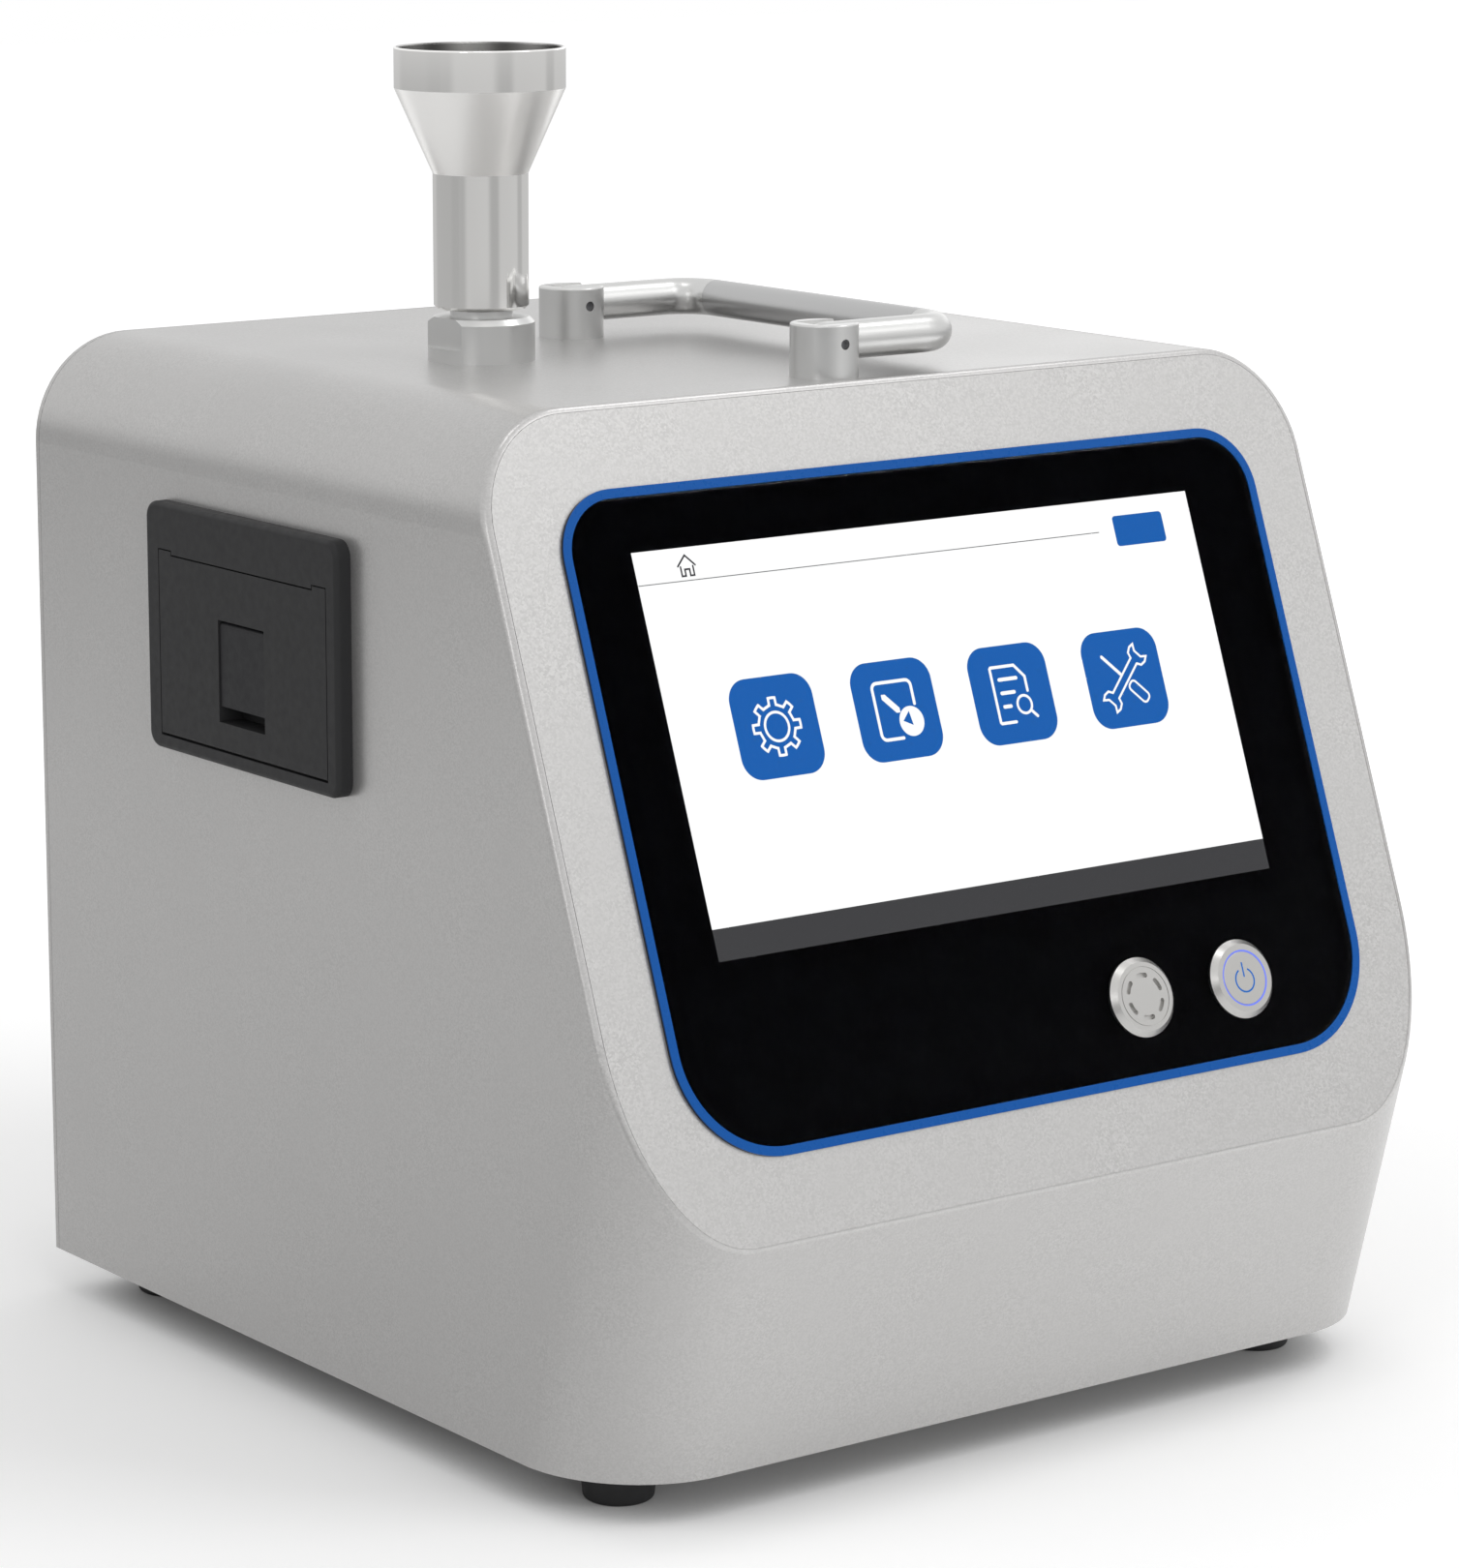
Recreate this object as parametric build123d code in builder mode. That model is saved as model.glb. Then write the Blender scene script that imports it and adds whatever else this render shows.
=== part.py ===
from build123d import *
import os
from math import atan2, cos, pi, radians, sin, tan

# Portable airborne particle counter, in millimetres.
# Origin: middle of the footprint on the table. +Z up, the sloping display faces -Y.

# ------------------------------------------------------------------ driving dimensions
# Housing
case_width = 240.0
case_depth = 255.8
case_top = 244.0
foot_height = 10.7
chin_foot_y = -113.7        # lower front edge, drawn back under the knee
knee_z = 66.3               # where chin and slope meet
slope_top_y = -60.2         # where slope and top meet
shoulder_radius = 25.8      # long top edges
chin_radius = 30.7          # front vertical corners
rim_radius = 1.9            # rounded rim around the front plate
wall = 2.5
seam = 0.12                 # gap between housing parts
front_plate = 3.0
base_thickness = 2.0
rear_thickness = 1.5
cut_over = 1.0               # by which a cut starts outside the material

# Display panel, on the slope: u to the right, v down from the top edge
panel_width = 203.8
panel_top_v = 19.4
panel_bottom_v = 171.0
panel_top_radius = 15.5
panel_bottom_radius = 26.0
trim_width = 2.16
carrier_proud = 0.5
trim_proud = 0.85
glass_proud = 0.8
glass_thickness = 1.8
screen_width = 163.8
screen_height = 92.7
screen_u = -0.9
screen_v = 80.2

# 16 mm panel switch and buzzer
switch_u = 62.4
buzzer_u = 31.4
switch_v = 151.2
head_radius = 9.4
head_height = 2.0
barrel_radius = 8.0
button_radius = 6.3
button_travel = 1.6

# Panel printer, on the left wall
printer_y = 27.0
printer_z = 181.3
bezel_width = 84.0
bezel_height = 59.5
bezel_proud = 4.0
door_y = 26.2
door_bottom_z = 155.3
door_width = 73.2
door_height = 44.5
door_thickness = 3.0
latch_y = 26.3
latch_width = 19.75
pocket_bottom_z = 162.1
pocket_height = 24.3
latch_height = 20.0
roll_radius = 13.0
roll_length = 57.0

# Air inlet
inlet_x = -57.2
inlet_y = 24.1
collar_radius = 12.7
collar_height = 10.4
neck_radius = 7.4
probe_foot = 12.3           # heights above the top of the housing
probe_cone = 44.0
probe_band = 63.9
probe_mouth = 73.4
probe_tube_radius = 11.3
probe_mouth_radius = 20.2
probe_wall = 1.0
inlet_bore = 5.0

# Carrying handle
post_x = -12.0
post_spacing = 100.8
handle_y = 0.7
post_radius = 8.0
post_height = 12.5
rod_radius = 4.5
handle_reach = 37.0
handle_bend = 9.0
pin_radius = 1.2
running_gap = 0.05

# Feet
foot_x = 97.0
foot_front_y = -86.3
foot_back_y = 109.8
foot_top_radius = 9.2
foot_tip_radius = 8.1

# ------------------------------------------------------------------ derived geometry
knee_y = -case_depth / 2
back_y = case_depth / 2
half_width = case_width / 2
floor_z = foot_height
base_top = floor_z + base_thickness
chin_lean = atan2(chin_foot_y - knee_y, knee_z - floor_z)
slope_tilt = atan2(slope_top_y - knee_y, case_top - knee_z)
slope_normal = (0, -cos(slope_tilt), sin(slope_tilt))
slope = Plane(origin=(0, slope_top_y, case_top), x_dir=(1, 0, 0), z_dir=slope_normal)
slope_axis = Axis(slope.origin, slope.z_dir)
chin_axis = Axis((0, 0, 0), (0, -sin(chin_lean), cos(chin_lean)))

os.makedirs("parts", exist_ok=True)


def write(piece, name):
    """Label a finished piece and write it to its own file."""
    piece.label = name
    export_step(piece, f"parts/{name}.step")


def housing_block(inset, sink, low_z, far_y):
    """The housing's outer form, drawn in by inset at the walls and by sink at the slope."""
    half = half_width - inset
    top_z = case_top - inset

    def chin_y(z):
        return chin_foot_y + inset / cos(chin_lean) - (z - floor_z) * tan(chin_lean)

    with BuildPart() as block:
        with BuildSketch(Plane.YZ.offset(-half)):
            with BuildLine():
                Polyline(
                    (chin_y(low_z), low_z),
                    (far_y, low_z),
                    (far_y, top_z),
                    (chin_y(top_z), top_z),
                    close=True,
                )
            make_face()
        extrude(amount=2 * half)
        fillet(block.edges().filter_by(chin_axis), chin_radius - inset)
        split(bisect_by=slope.offset(-sink), keep=Keep.BOTTOM)
        shoulders = block.edges().filter_by(Axis.Y).group_by(Axis.Z)[-1]
        fillet(shoulders, shoulder_radius - inset)
    return block.part


def slope_face(block):
    """The sloping face of a housing block."""
    return block.faces().sort_by(slope_axis)[-1]


def rimmed(block, radius):
    """A housing block with a rounded rim all round its slope."""
    with BuildPart() as rounded:
        add(block)
        fillet(slope_face(rounded.part).edges(), radius)
    return rounded.part


def panel_outline(margin):
    """Rounded outline of the display panel on the slope, grown by margin."""
    half = panel_width / 2 + margin
    top = -panel_top_v + margin
    bottom = -panel_bottom_v - margin
    upper = panel_top_radius + margin
    lower = panel_bottom_radius + margin
    with BuildSketch() as outline:
        with BuildLine():
            FilletPolyline(
                (-half, top),
                (half, top),
                (half, bottom),
                (-half, bottom),
                radius=[upper, upper, lower, lower],
                close=True,
            )
        make_face()
    return outline.sketch


# ------------------------------------------------------------------ housing
outer_form = housing_block(0, 0, floor_z, back_y)
shell_form = housing_block(0, 0, floor_z, back_y - rear_thickness - seam)
cavity_form = housing_block(wall, front_plate + wall, floor_z - cut_over, back_y + cut_over)
seat_face = slope_face(rimmed(outer_form, rim_radius))
plate_face = slope_face(rimmed(outer_form, rim_radius + seam))

boss_radius = 4.5
boss_hole = 1.3
boss_length = 14.0
boss_sink = 0.5               # of each boss into the wall beside it
boss_x = half_width - wall - boss_radius + boss_sink
rear_boss_z = (floor_z + 26.0, case_top - 38.0)
rear_boss_points = [(side * boss_x, z) for side in (-1, 1) for z in rear_boss_z]
base_boss_points = [(-boss_x, -60.0), (boss_x, -60.0), (-boss_x, 84.0), (boss_x, 84.0)]
shell_back_y = back_y - rear_thickness - seam
window_margin = 0.6           # of the shell's window beyond the panel outline
plate_margin = -1.0           # of the plate's own window
door_gap = 0.3
sleeve_wall = 1.2
opening_width = door_width + 2 * door_gap
opening_height = door_height + 2 * door_gap
sleeve_width = opening_width + 2 * sleeve_wall
sleeve_height = opening_height + 2 * sleeve_wall
sleeve_gap = 0.5
opening_z = door_bottom_z + door_height / 2
stem_radius = 9.0
hole_gap = 0.1
post_screw_radius = 2.0

with BuildPart() as case_shell:
    add(rimmed(shell_form, rim_radius))
    add(cavity_form, mode=Mode.SUBTRACT)
    # seat for the front plate, and the window behind it
    extrude(seat_face, amount=-front_plate, mode=Mode.SUBTRACT)
    with BuildSketch(slope.offset(-front_plate)):
        add(panel_outline(window_margin))
    extrude(amount=-2 * wall, mode=Mode.SUBTRACT)
    # printer cut-out in the left wall
    with BuildSketch(Plane.YZ.offset(-half_width - cut_over)):
        with Locations((door_y, opening_z)):
            Rectangle(sleeve_width + 2 * sleeve_gap, sleeve_height + 2 * sleeve_gap)
    extrude(amount=wall + 2 * cut_over, mode=Mode.SUBTRACT)
    # inlet and handle fixing holes in the top
    with BuildSketch(Plane.XY.offset(case_top + cut_over)):
        with Locations((inlet_x, inlet_y)):
            Circle(stem_radius + hole_gap)
        with Locations((post_x, handle_y)):
            with GridLocations(0, post_spacing, 1, 2):
                Circle(post_screw_radius + hole_gap)
    extrude(amount=-wall - 2 * cut_over, mode=Mode.SUBTRACT)
    # screw bosses for the rear panel and the base plate
    with BuildSketch(Plane.XZ.offset(-shell_back_y)):
        with Locations(*rear_boss_points):
            Circle(boss_radius)
            Circle(boss_hole, mode=Mode.SUBTRACT)
    extrude(amount=boss_length)
    with BuildSketch(Plane.XY.offset(base_top + seam)):
        with Locations(*base_boss_points):
            Circle(boss_radius)
            Circle(boss_hole, mode=Mode.SUBTRACT)
    extrude(amount=boss_length)
write(case_shell.part, "case_shell")

with BuildPart() as front_panel:
    extrude(plate_face, amount=-front_plate)
    with BuildSketch(slope):
        add(panel_outline(plate_margin))
    extrude(amount=-front_plate, mode=Mode.SUBTRACT)
write(front_panel.part, "front_panel")

base_form = housing_block(wall + seam, front_plate + wall, floor_z, shell_back_y - seam)
screw_m3 = 1.5
screw_m4 = 2.0
foot_points = [
    (-foot_x, foot_front_y),
    (foot_x, foot_front_y),
    (-foot_x, foot_back_y),
    (foot_x, foot_back_y),
]

with BuildPart() as base_plate:
    add(base_form)
    split(bisect_by=Plane.XY.offset(base_top), keep=Keep.BOTTOM)
    with Locations(Plane.XY.offset(base_top)):
        with Locations(*base_boss_points):
            Hole(screw_m3 + hole_gap)
        with Locations(*foot_points):
            Hole(screw_m4 + hole_gap)
write(base_plate.part, "base_plate")

# ------------------------------------------------------------------ rear panel and its sockets
fan_x = 58.0
fan_z = 148.0
fan_size = 60.0
fan_depth = 15.0
fan_pitch = 50.0
vent_radius = 27.0
vent_slots = 9
vent_pitch = 6.0
vent_slot_width = 2.6
inlet_socket_x = -78.0
inlet_socket_z = 52.0
inlet_socket_size = (27.2, 19.8)
lan_x = -36.0
usb_x = -8.0
port_z = 50.0
lan_size = (15.9, 13.3)
usb_size = (14.4, 7.0)
exhaust_x = 58.0
exhaust_z = 62.0
exhaust_radius = 11.0

with BuildPart() as rear_panel:
    add(outer_form)
    split(bisect_by=Plane.XZ.offset(-(back_y - rear_thickness)), keep=Keep.BOTTOM)
    with BuildSketch(Plane.XZ.offset(-back_y - cut_over)):
        with Locations(*rear_boss_points):
            Circle(screw_m3 + hole_gap)
        with Locations((inlet_socket_x, inlet_socket_z)):
            Rectangle(inlet_socket_size[0] + 2 * hole_gap, inlet_socket_size[1] + 2 * hole_gap)
        with Locations((lan_x, port_z)):
            Rectangle(lan_size[0] + 2 * hole_gap, lan_size[1] + 2 * hole_gap)
        with Locations((usb_x, port_z)):
            Rectangle(usb_size[0] + 2 * hole_gap, usb_size[1] + 2 * hole_gap)
        with Locations((exhaust_x, exhaust_z)):
            Circle(exhaust_radius + hole_gap)
        with Locations((fan_x, fan_z)):
            with GridLocations(fan_pitch, fan_pitch, 2, 2):
                Circle(screw_m3 + hole_gap)
    extrude(amount=rear_thickness + 2 * cut_over, mode=Mode.SUBTRACT)
    # fan vent: straight slots clipped to a circle
    with BuildSketch(Plane.XZ.offset(-back_y - cut_over)):
        with Locations((fan_x, fan_z)):
            Circle(vent_radius)
            with GridLocations(0, vent_pitch, 1, vent_slots):
                Rectangle(fan_size, vent_pitch - vent_slot_width, mode=Mode.SUBTRACT)
    extrude(amount=rear_thickness + 2 * cut_over, mode=Mode.SUBTRACT)
write(rear_panel.part, "rear_panel")

# ------------------------------------------------------------------ display panel on the slope
carrier_depth = 5.0
plug_margin = -1.1
glass_back = glass_proud - glass_thickness
glass_gap = 0.05
glass_bed = 0.1              # adhesive under the glass
carrier_floor = glass_back - glass_bed
lcd_window_gap = 0.1
lcd_body_margin = 4.0
lcd_depth = 9.5
lcd_corner = 2.0
lcd_body_width = screen_width + 2 * lcd_body_margin
lcd_body_height = screen_height + 2 * lcd_body_margin
switch_points = [(buzzer_u, -switch_v), (switch_u, -switch_v)]

with BuildPart() as display_carrier:
    # plug through the front plate and thin flange on top of it
    with BuildSketch(slope.offset(-carrier_depth)):
        add(panel_outline(plug_margin))
    extrude(amount=carrier_depth)
    with BuildSketch(slope):
        add(panel_outline(0))
    extrude(amount=carrier_proud)
    # tray for the glass
    with BuildSketch(slope.offset(carrier_floor)):
        add(panel_outline(-trim_width))
    extrude(amount=carrier_proud - carrier_floor, mode=Mode.SUBTRACT)
    # window for the screen and holes for the switches
    with BuildSketch(slope.offset(carrier_floor)):
        with Locations((screen_u, -screen_v)):
            Rectangle(screen_width + 2 * lcd_window_gap, screen_height + 2 * lcd_window_gap)
        with Locations(*switch_points):
            Circle(barrel_radius + hole_gap)
    extrude(amount=-carrier_depth, mode=Mode.SUBTRACT)
write(display_carrier.part, "display_carrier")

with BuildPart() as trim_ring:
    with BuildSketch(slope.offset(carrier_proud)):
        add(panel_outline(0))
        add(panel_outline(-trim_width), mode=Mode.SUBTRACT)
    extrude(amount=trim_proud - carrier_proud)
write(trim_ring.part, "trim_ring")

with BuildPart() as cover_glass:
    with BuildSketch(slope.offset(glass_back)):
        add(panel_outline(-trim_width - glass_gap))
        with Locations(*switch_points):
            Circle(barrel_radius + hole_gap, mode=Mode.SUBTRACT)
    extrude(amount=glass_thickness)
write(cover_glass.part, "cover_glass")

lcd_face = glass_back - 1.5 * glass_bed
with BuildPart() as lcd_module:
    with BuildSketch(slope.offset(lcd_face)):
        with Locations((screen_u, -screen_v)):
            Rectangle(screen_width, screen_height)
    extrude(amount=-carrier_depth)
    with BuildSketch(slope.offset(-carrier_depth - lcd_window_gap)):
        with Locations((screen_u, -screen_v)):
            RectangleRounded(lcd_body_width, lcd_body_height, lcd_corner)
    extrude(amount=carrier_depth - lcd_depth)
write(lcd_module.part, "lcd_module")

# ------------------------------------------------------------------ buzzer and power switch
head_base = glass_proud
head_top = head_base + head_height
head_chamfer = 1.3
barrel_end = -24.0
slot_circle = 5.0
slot_width = 1.1
slot_sweep = 26.0
slot_depth = 0.9
face_groove_radius = 7.05
face_groove_width = 0.2
slot_arc = CenterArc((0, 0), slot_circle, 0, slot_sweep)
buzzer_plane = slope.shift_origin(slope.from_local_coords((buzzer_u, -switch_v, 0)))
switch_plane = slope.shift_origin(slope.from_local_coords((switch_u, -switch_v, 0)))

with BuildPart() as buzzer:
    with BuildSketch(buzzer_plane.offset(head_base)):
        Circle(head_radius)
    extrude(amount=head_height)
    chamfer(buzzer.faces().sort_by(slope_axis)[-1].edges(), head_chamfer)
    with BuildSketch(buzzer_plane.offset(head_base)):
        Circle(barrel_radius)
    extrude(amount=barrel_end - head_base)
    # six sound slots on a circle, inside a fine turned groove
    with BuildSketch(buzzer_plane.offset(head_top)):
        with PolarLocations(0, 6, start_angle=15):
            SlotArc(slot_arc, slot_width)
    extrude(amount=-slot_depth, mode=Mode.SUBTRACT)
    with BuildSketch(buzzer_plane.offset(head_top)):
        Circle(face_groove_radius)
        Circle(face_groove_radius - face_groove_width, mode=Mode.SUBTRACT)
    extrude(amount=-face_groove_width, mode=Mode.SUBTRACT)
write(buzzer.part, "buzzer")

light_ring_outer = 6.7
light_ring_inner = button_radius + 0.1
ring_depth = 7.0
button_length = 9.0
button_edge = 0.15
button_room = button_length + button_travel + 1.0   # depth of the button's bore

with BuildPart() as power_switch_body:
    with BuildSketch(switch_plane.offset(head_base)):
        Circle(head_radius)
    extrude(amount=head_height)
    chamfer(power_switch_body.faces().sort_by(slope_axis)[-1].edges(), head_chamfer)
    with BuildSketch(switch_plane.offset(head_base)):
        Circle(barrel_radius)
    extrude(amount=barrel_end - head_base)
    with BuildSketch(switch_plane.offset(head_top)):
        Circle(light_ring_outer)
    extrude(amount=-ring_depth, mode=Mode.SUBTRACT)
    with BuildSketch(switch_plane.offset(head_top)):
        Circle(light_ring_inner)
    extrude(amount=-button_room, mode=Mode.SUBTRACT)
write(power_switch_body.part, "power_switch_body")

with BuildPart() as power_light_ring:
    with BuildSketch(switch_plane.offset(head_top)):
        Circle(light_ring_outer)
        Circle(light_ring_inner, mode=Mode.SUBTRACT)
    extrude(amount=-ring_depth)
write(power_light_ring.part, "power_light_ring")

with BuildPart() as power_button:
    with BuildSketch(switch_plane.offset(head_top)):
        Circle(button_radius)
    extrude(amount=-button_length)
    fillet(power_button.faces().sort_by(slope_axis)[-1].edges(), button_edge)
write(power_button.part, "power_button")

nut_flats = 20.0
nut_height = 3.0
with BuildPart() as switch_nuts:
    with BuildSketch(slope.offset(-carrier_depth)):
        with Locations(*switch_points):
            RegularPolygon(nut_flats / 2, 6, major_radius=False)
            Circle(barrel_radius + running_gap, mode=Mode.SUBTRACT)
    extrude(amount=-nut_height)
write(switch_nuts.part, "switch_nuts")

# main circuit board behind the screen, on four spacers
board_width = 150.0
board_height = 84.0
board_depth = 22.0
board_thickness = 1.6
spacer_radius = 3.0
spacer_reach = (68.0, 35.0)
spacer_points = [
    (screen_u + i * spacer_reach[0], -screen_v + j * spacer_reach[1]) for i in (-1, 1) for j in (-1, 1)
]
chip_height = 6.0
chips = [
    # place on the board, width and height
    (-20, 8, 22, 22),
    (14, 12, 12, 10),
    (48, -6, 18, 26),
]
connector_pitch = 30.0
connector_size = (22.0, 7.0)

with BuildPart() as board_spacers:
    with BuildSketch(slope.offset(-lcd_depth - lcd_window_gap)):
        with Locations(*spacer_points):
            RegularPolygon(spacer_radius, 6)
    extrude(amount=lcd_depth + lcd_window_gap - board_depth)
write(board_spacers.part, "board_spacers")

with BuildPart() as main_board:
    with BuildSketch(slope.offset(-board_depth)):
        with Locations((screen_u, -screen_v)):
            Rectangle(board_width, board_height)
    extrude(amount=-board_thickness)
    # processor, memory, relay block and edge connectors
    with BuildSketch(slope.offset(-board_depth - board_thickness)):
        for across, up, chip_width, chip_length in chips:
            with Locations((screen_u + across, -screen_v + up)):
                Rectangle(chip_width, chip_length)
        with Locations((screen_u, -screen_v - spacer_reach[1])):
            with GridLocations(connector_pitch, 0, 4, 1):
                Rectangle(*connector_size)
    extrude(amount=-chip_height)
write(main_board.part, "main_board")

# ------------------------------------------------------------------ panel printer on the left wall
bezel_corner = 4.0
bezel_rounding = 1.3
sleeve_depth = 8.0
hinge_pin_radius = 0.8
hinge_inset = 1.3           # of the hinge line, from the door's face and its lower edge
hinge_pin_length = 2.8
face_x = -half_width - bezel_proud
hinge_x = face_x + hinge_inset
hinge_z = door_bottom_z + hinge_inset
latch_thickness = 2.2
latch_side_gap = 0.2
latch_top_gap = 0.5
latch_set_back = 0.4
pocket_width = latch_width + 2 * latch_side_gap
pocket_depth = 6.6
pocket_wall = 1.2
latch_pivot_x = face_x + latch_set_back + latch_thickness / 2
latch_top_z = pocket_bottom_z + pocket_height - latch_top_gap
latch_pivot_z = latch_top_z - latch_thickness / 2
latch_pin_radius = 0.6
latch_pin_length = pocket_width + 5.0
latch_top_radius = 1.09
paper_slot_width = 62.2
paper_slot_drop = 1.05
paper_slot_gap = 0.35
platen_x = face_x + 9.5
platen_z = hinge_z + 37.0
platen_radius = 4.0
platen_length = 58.0
platen_shaft_radius = 1.5
arm_spacing = 63.0
arm_thickness = 2.4
arm_height = 8.0
arm_drop = 1.0                # of the arm's middle below the roller
door_edge = 0.8
slot_y = door_y + 0.1
lip_z = opening_z + door_height / 2 - paper_slot_drop + paper_slot_gap
lip_height = opening_z + opening_height / 2 - lip_z
left_face = Plane.YZ.offset(face_x)
left_wall = Plane.YZ.offset(-half_width)


def pin_along_y(radius, length, x, y, z):
    """Round pin of the given length, centred on (x, y, z) and lying along Y."""
    with BuildPart() as pin:
        with BuildSketch(Plane.XZ.offset(-(y + length / 2))):
            with Locations((x, z)):
                Circle(radius)
        extrude(amount=length)
    return pin.part


hinge_span = door_width + 2 * hinge_pin_length
hinge_holes = pin_along_y(hinge_pin_radius + running_gap, hinge_span + cut_over, hinge_x, door_y, hinge_z)
hinge_pins = pin_along_y(hinge_pin_radius, hinge_span, hinge_x, door_y, hinge_z)
latch_bore = pin_along_y(latch_pin_radius + running_gap, latch_width, latch_pivot_x, latch_y, latch_pivot_z)
latch_pin_solid = pin_along_y(latch_pin_radius, latch_pin_length, latch_pivot_x, latch_y, latch_pivot_z)
platen_bores = pin_along_y(platen_shaft_radius + running_gap, arm_spacing + 2 * arm_thickness,
                           platen_x, door_y, platen_z)

with BuildPart() as printer_bezel:
    with BuildSketch(left_wall):
        with Locations((printer_y, printer_z)):
            RectangleRounded(bezel_width, bezel_height, bezel_corner)
    extrude(amount=-bezel_proud)
    fillet(printer_bezel.faces().sort_by(Axis.X)[0].edges(), bezel_rounding)
    with BuildSketch(left_wall):
        with Locations((door_y, opening_z)):
            Rectangle(sleeve_width, sleeve_height)
    extrude(amount=sleeve_depth)
    with BuildSketch(left_face.offset(-cut_over)):
        with Locations((door_y, opening_z)):
            Rectangle(opening_width, opening_height)
    extrude(amount=bezel_proud + sleeve_depth + 2 * cut_over, mode=Mode.SUBTRACT)
    # lip over the dropped edge of the door; the paper comes out beneath it
    with BuildSketch(left_face):
        with Locations((slot_y, lip_z + lip_height / 2)):
            Rectangle(paper_slot_width - 2 * door_gap, lip_height)
    extrude(amount=door_thickness)
    add(hinge_holes, mode=Mode.SUBTRACT)
write(printer_bezel.part, "printer_bezel")

with BuildPart() as printer_door:
    with BuildSketch(left_face):
        with Locations((door_y, opening_z)):
            Rectangle(door_width, door_height)
    extrude(amount=door_thickness)
    # lower front edge eased so that it turns inside the frame
    fillet(printer_door.edges().filter_by(Axis.Y).group_by(Axis.Z)[0].sort_by(Axis.X)[0], door_edge)
    # dropped top edge where the paper comes out
    with BuildSketch(left_face):
        with Locations((slot_y, opening_z + (door_height - paper_slot_drop) / 2)):
            Rectangle(paper_slot_width, paper_slot_drop)
    extrude(amount=door_thickness, mode=Mode.SUBTRACT)
    # box of the finger pocket behind the door
    with BuildSketch(left_face.offset(door_thickness)):
        with Locations((latch_y, pocket_bottom_z + pocket_height / 2)):
            Rectangle(pocket_width + 2 * pocket_wall, pocket_height + 2 * pocket_wall)
    extrude(amount=pocket_depth + pocket_wall - door_thickness)
    with BuildSketch(left_face):
        with Locations((latch_y, pocket_bottom_z + pocket_height / 2)):
            Rectangle(pocket_width, pocket_height)
    extrude(amount=pocket_depth, mode=Mode.SUBTRACT)
    # two arms for the platen roller
    with BuildSketch(left_face.offset(door_thickness)):
        with Locations((door_y, platen_z - arm_drop)):
            with GridLocations(arm_spacing, 0, 2, 1):
                Rectangle(arm_thickness, arm_height)
    extrude(amount=platen_x - face_x)
    add(hinge_pins)
    add(latch_pin_solid, mode=Mode.SUBTRACT)
    add(platen_bores, mode=Mode.SUBTRACT)
write(printer_door.part, "printer_door")

with BuildPart() as printer_latch:
    with BuildSketch(left_face.offset(latch_set_back)):
        with Locations((latch_y, latch_top_z - latch_height / 2)):
            Rectangle(latch_width, latch_height)
    extrude(amount=latch_thickness)
    fillet(printer_latch.edges().filter_by(Axis.Y).group_by(Axis.Z)[-1], latch_top_radius)
    add(latch_bore, mode=Mode.SUBTRACT)
write(printer_latch.part, "printer_latch")

write(latch_pin_solid, "latch_pin")

with BuildPart() as platen_shaft:
    add(pin_along_y(platen_shaft_radius, arm_spacing + arm_thickness, platen_x, door_y, platen_z))
write(platen_shaft.part, "platen_shaft")

with BuildPart() as platen_roller:
    add(pin_along_y(platen_radius, platen_length, platen_x, door_y, platen_z))
    add(platen_shaft.part, mode=Mode.SUBTRACT)
write(platen_roller.part, "platen_roller")

tub_front_x = -half_width + sleeve_depth
tub_depth = 34.0
tub_wall = 1.5
tub_corner = 3.0
tub_floor_z = opening_z - sleeve_height / 2 + tub_wall
roll_core_radius = 6.0
roll_x = tub_front_x + 16.5
roll_z = tub_floor_z + roll_radius + running_gap
head_gap = 0.1
head_thickness = 5.0
head_height_z = 10.8

with BuildPart() as printer_tub:
    with BuildSketch(Plane.YZ.offset(tub_front_x)):
        with Locations((door_y, opening_z)):
            RectangleRounded(sleeve_width, sleeve_height, tub_corner)
    extrude(amount=tub_depth)
    with BuildSketch(Plane.YZ.offset(tub_front_x)):
        with Locations((door_y, opening_z)):
            RectangleRounded(sleeve_width - 2 * tub_wall, sleeve_height - 2 * tub_wall, tub_corner / 2)
    extrude(amount=tub_depth - tub_wall, mode=Mode.SUBTRACT)
write(printer_tub.part, "printer_tub")

with BuildPart() as print_head:
    with BuildSketch(Plane.YZ.offset(platen_x + platen_radius + head_gap)):
        with Locations((door_y, tub_floor_z + sleeve_height - 2 * tub_wall - head_height_z / 2)):
            Rectangle(platen_length, head_height_z)
    extrude(amount=head_thickness)
write(print_head.part, "print_head")

with BuildPart() as paper_roll:
    add(pin_along_y(roll_radius, roll_length, roll_x, door_y, roll_z))
    add(pin_along_y(roll_core_radius, roll_length, roll_x, door_y, roll_z), mode=Mode.SUBTRACT)
write(paper_roll.part, "paper_roll")

# ------------------------------------------------------------------ air inlet on the top
inlet_plane = Plane(origin=(inlet_x, inlet_y, case_top))
inlet_section = Plane(origin=(inlet_x, inlet_y, case_top), x_dir=(1, 0, 0), z_dir=(0, -1, 0))
collar_chamfer = 1.3
flat_ledge = 3.4
flat_half = 10.5
flat_cut = 10.0
spigot_height = 11.0
inlet_nut_flats = 24.0
inlet_nut_height = 5.0
foot_chamfer = 0.8
bore_step = 5.0
cone_sink = 0.4               # of the inner cone below the outer one
mouth_rounding = 0.35
spigot_top = probe_foot + spigot_height
stem_length = 18.0
barb_radius = 6.0
barb_length = 12.0
socket_depth = 12.0

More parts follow.
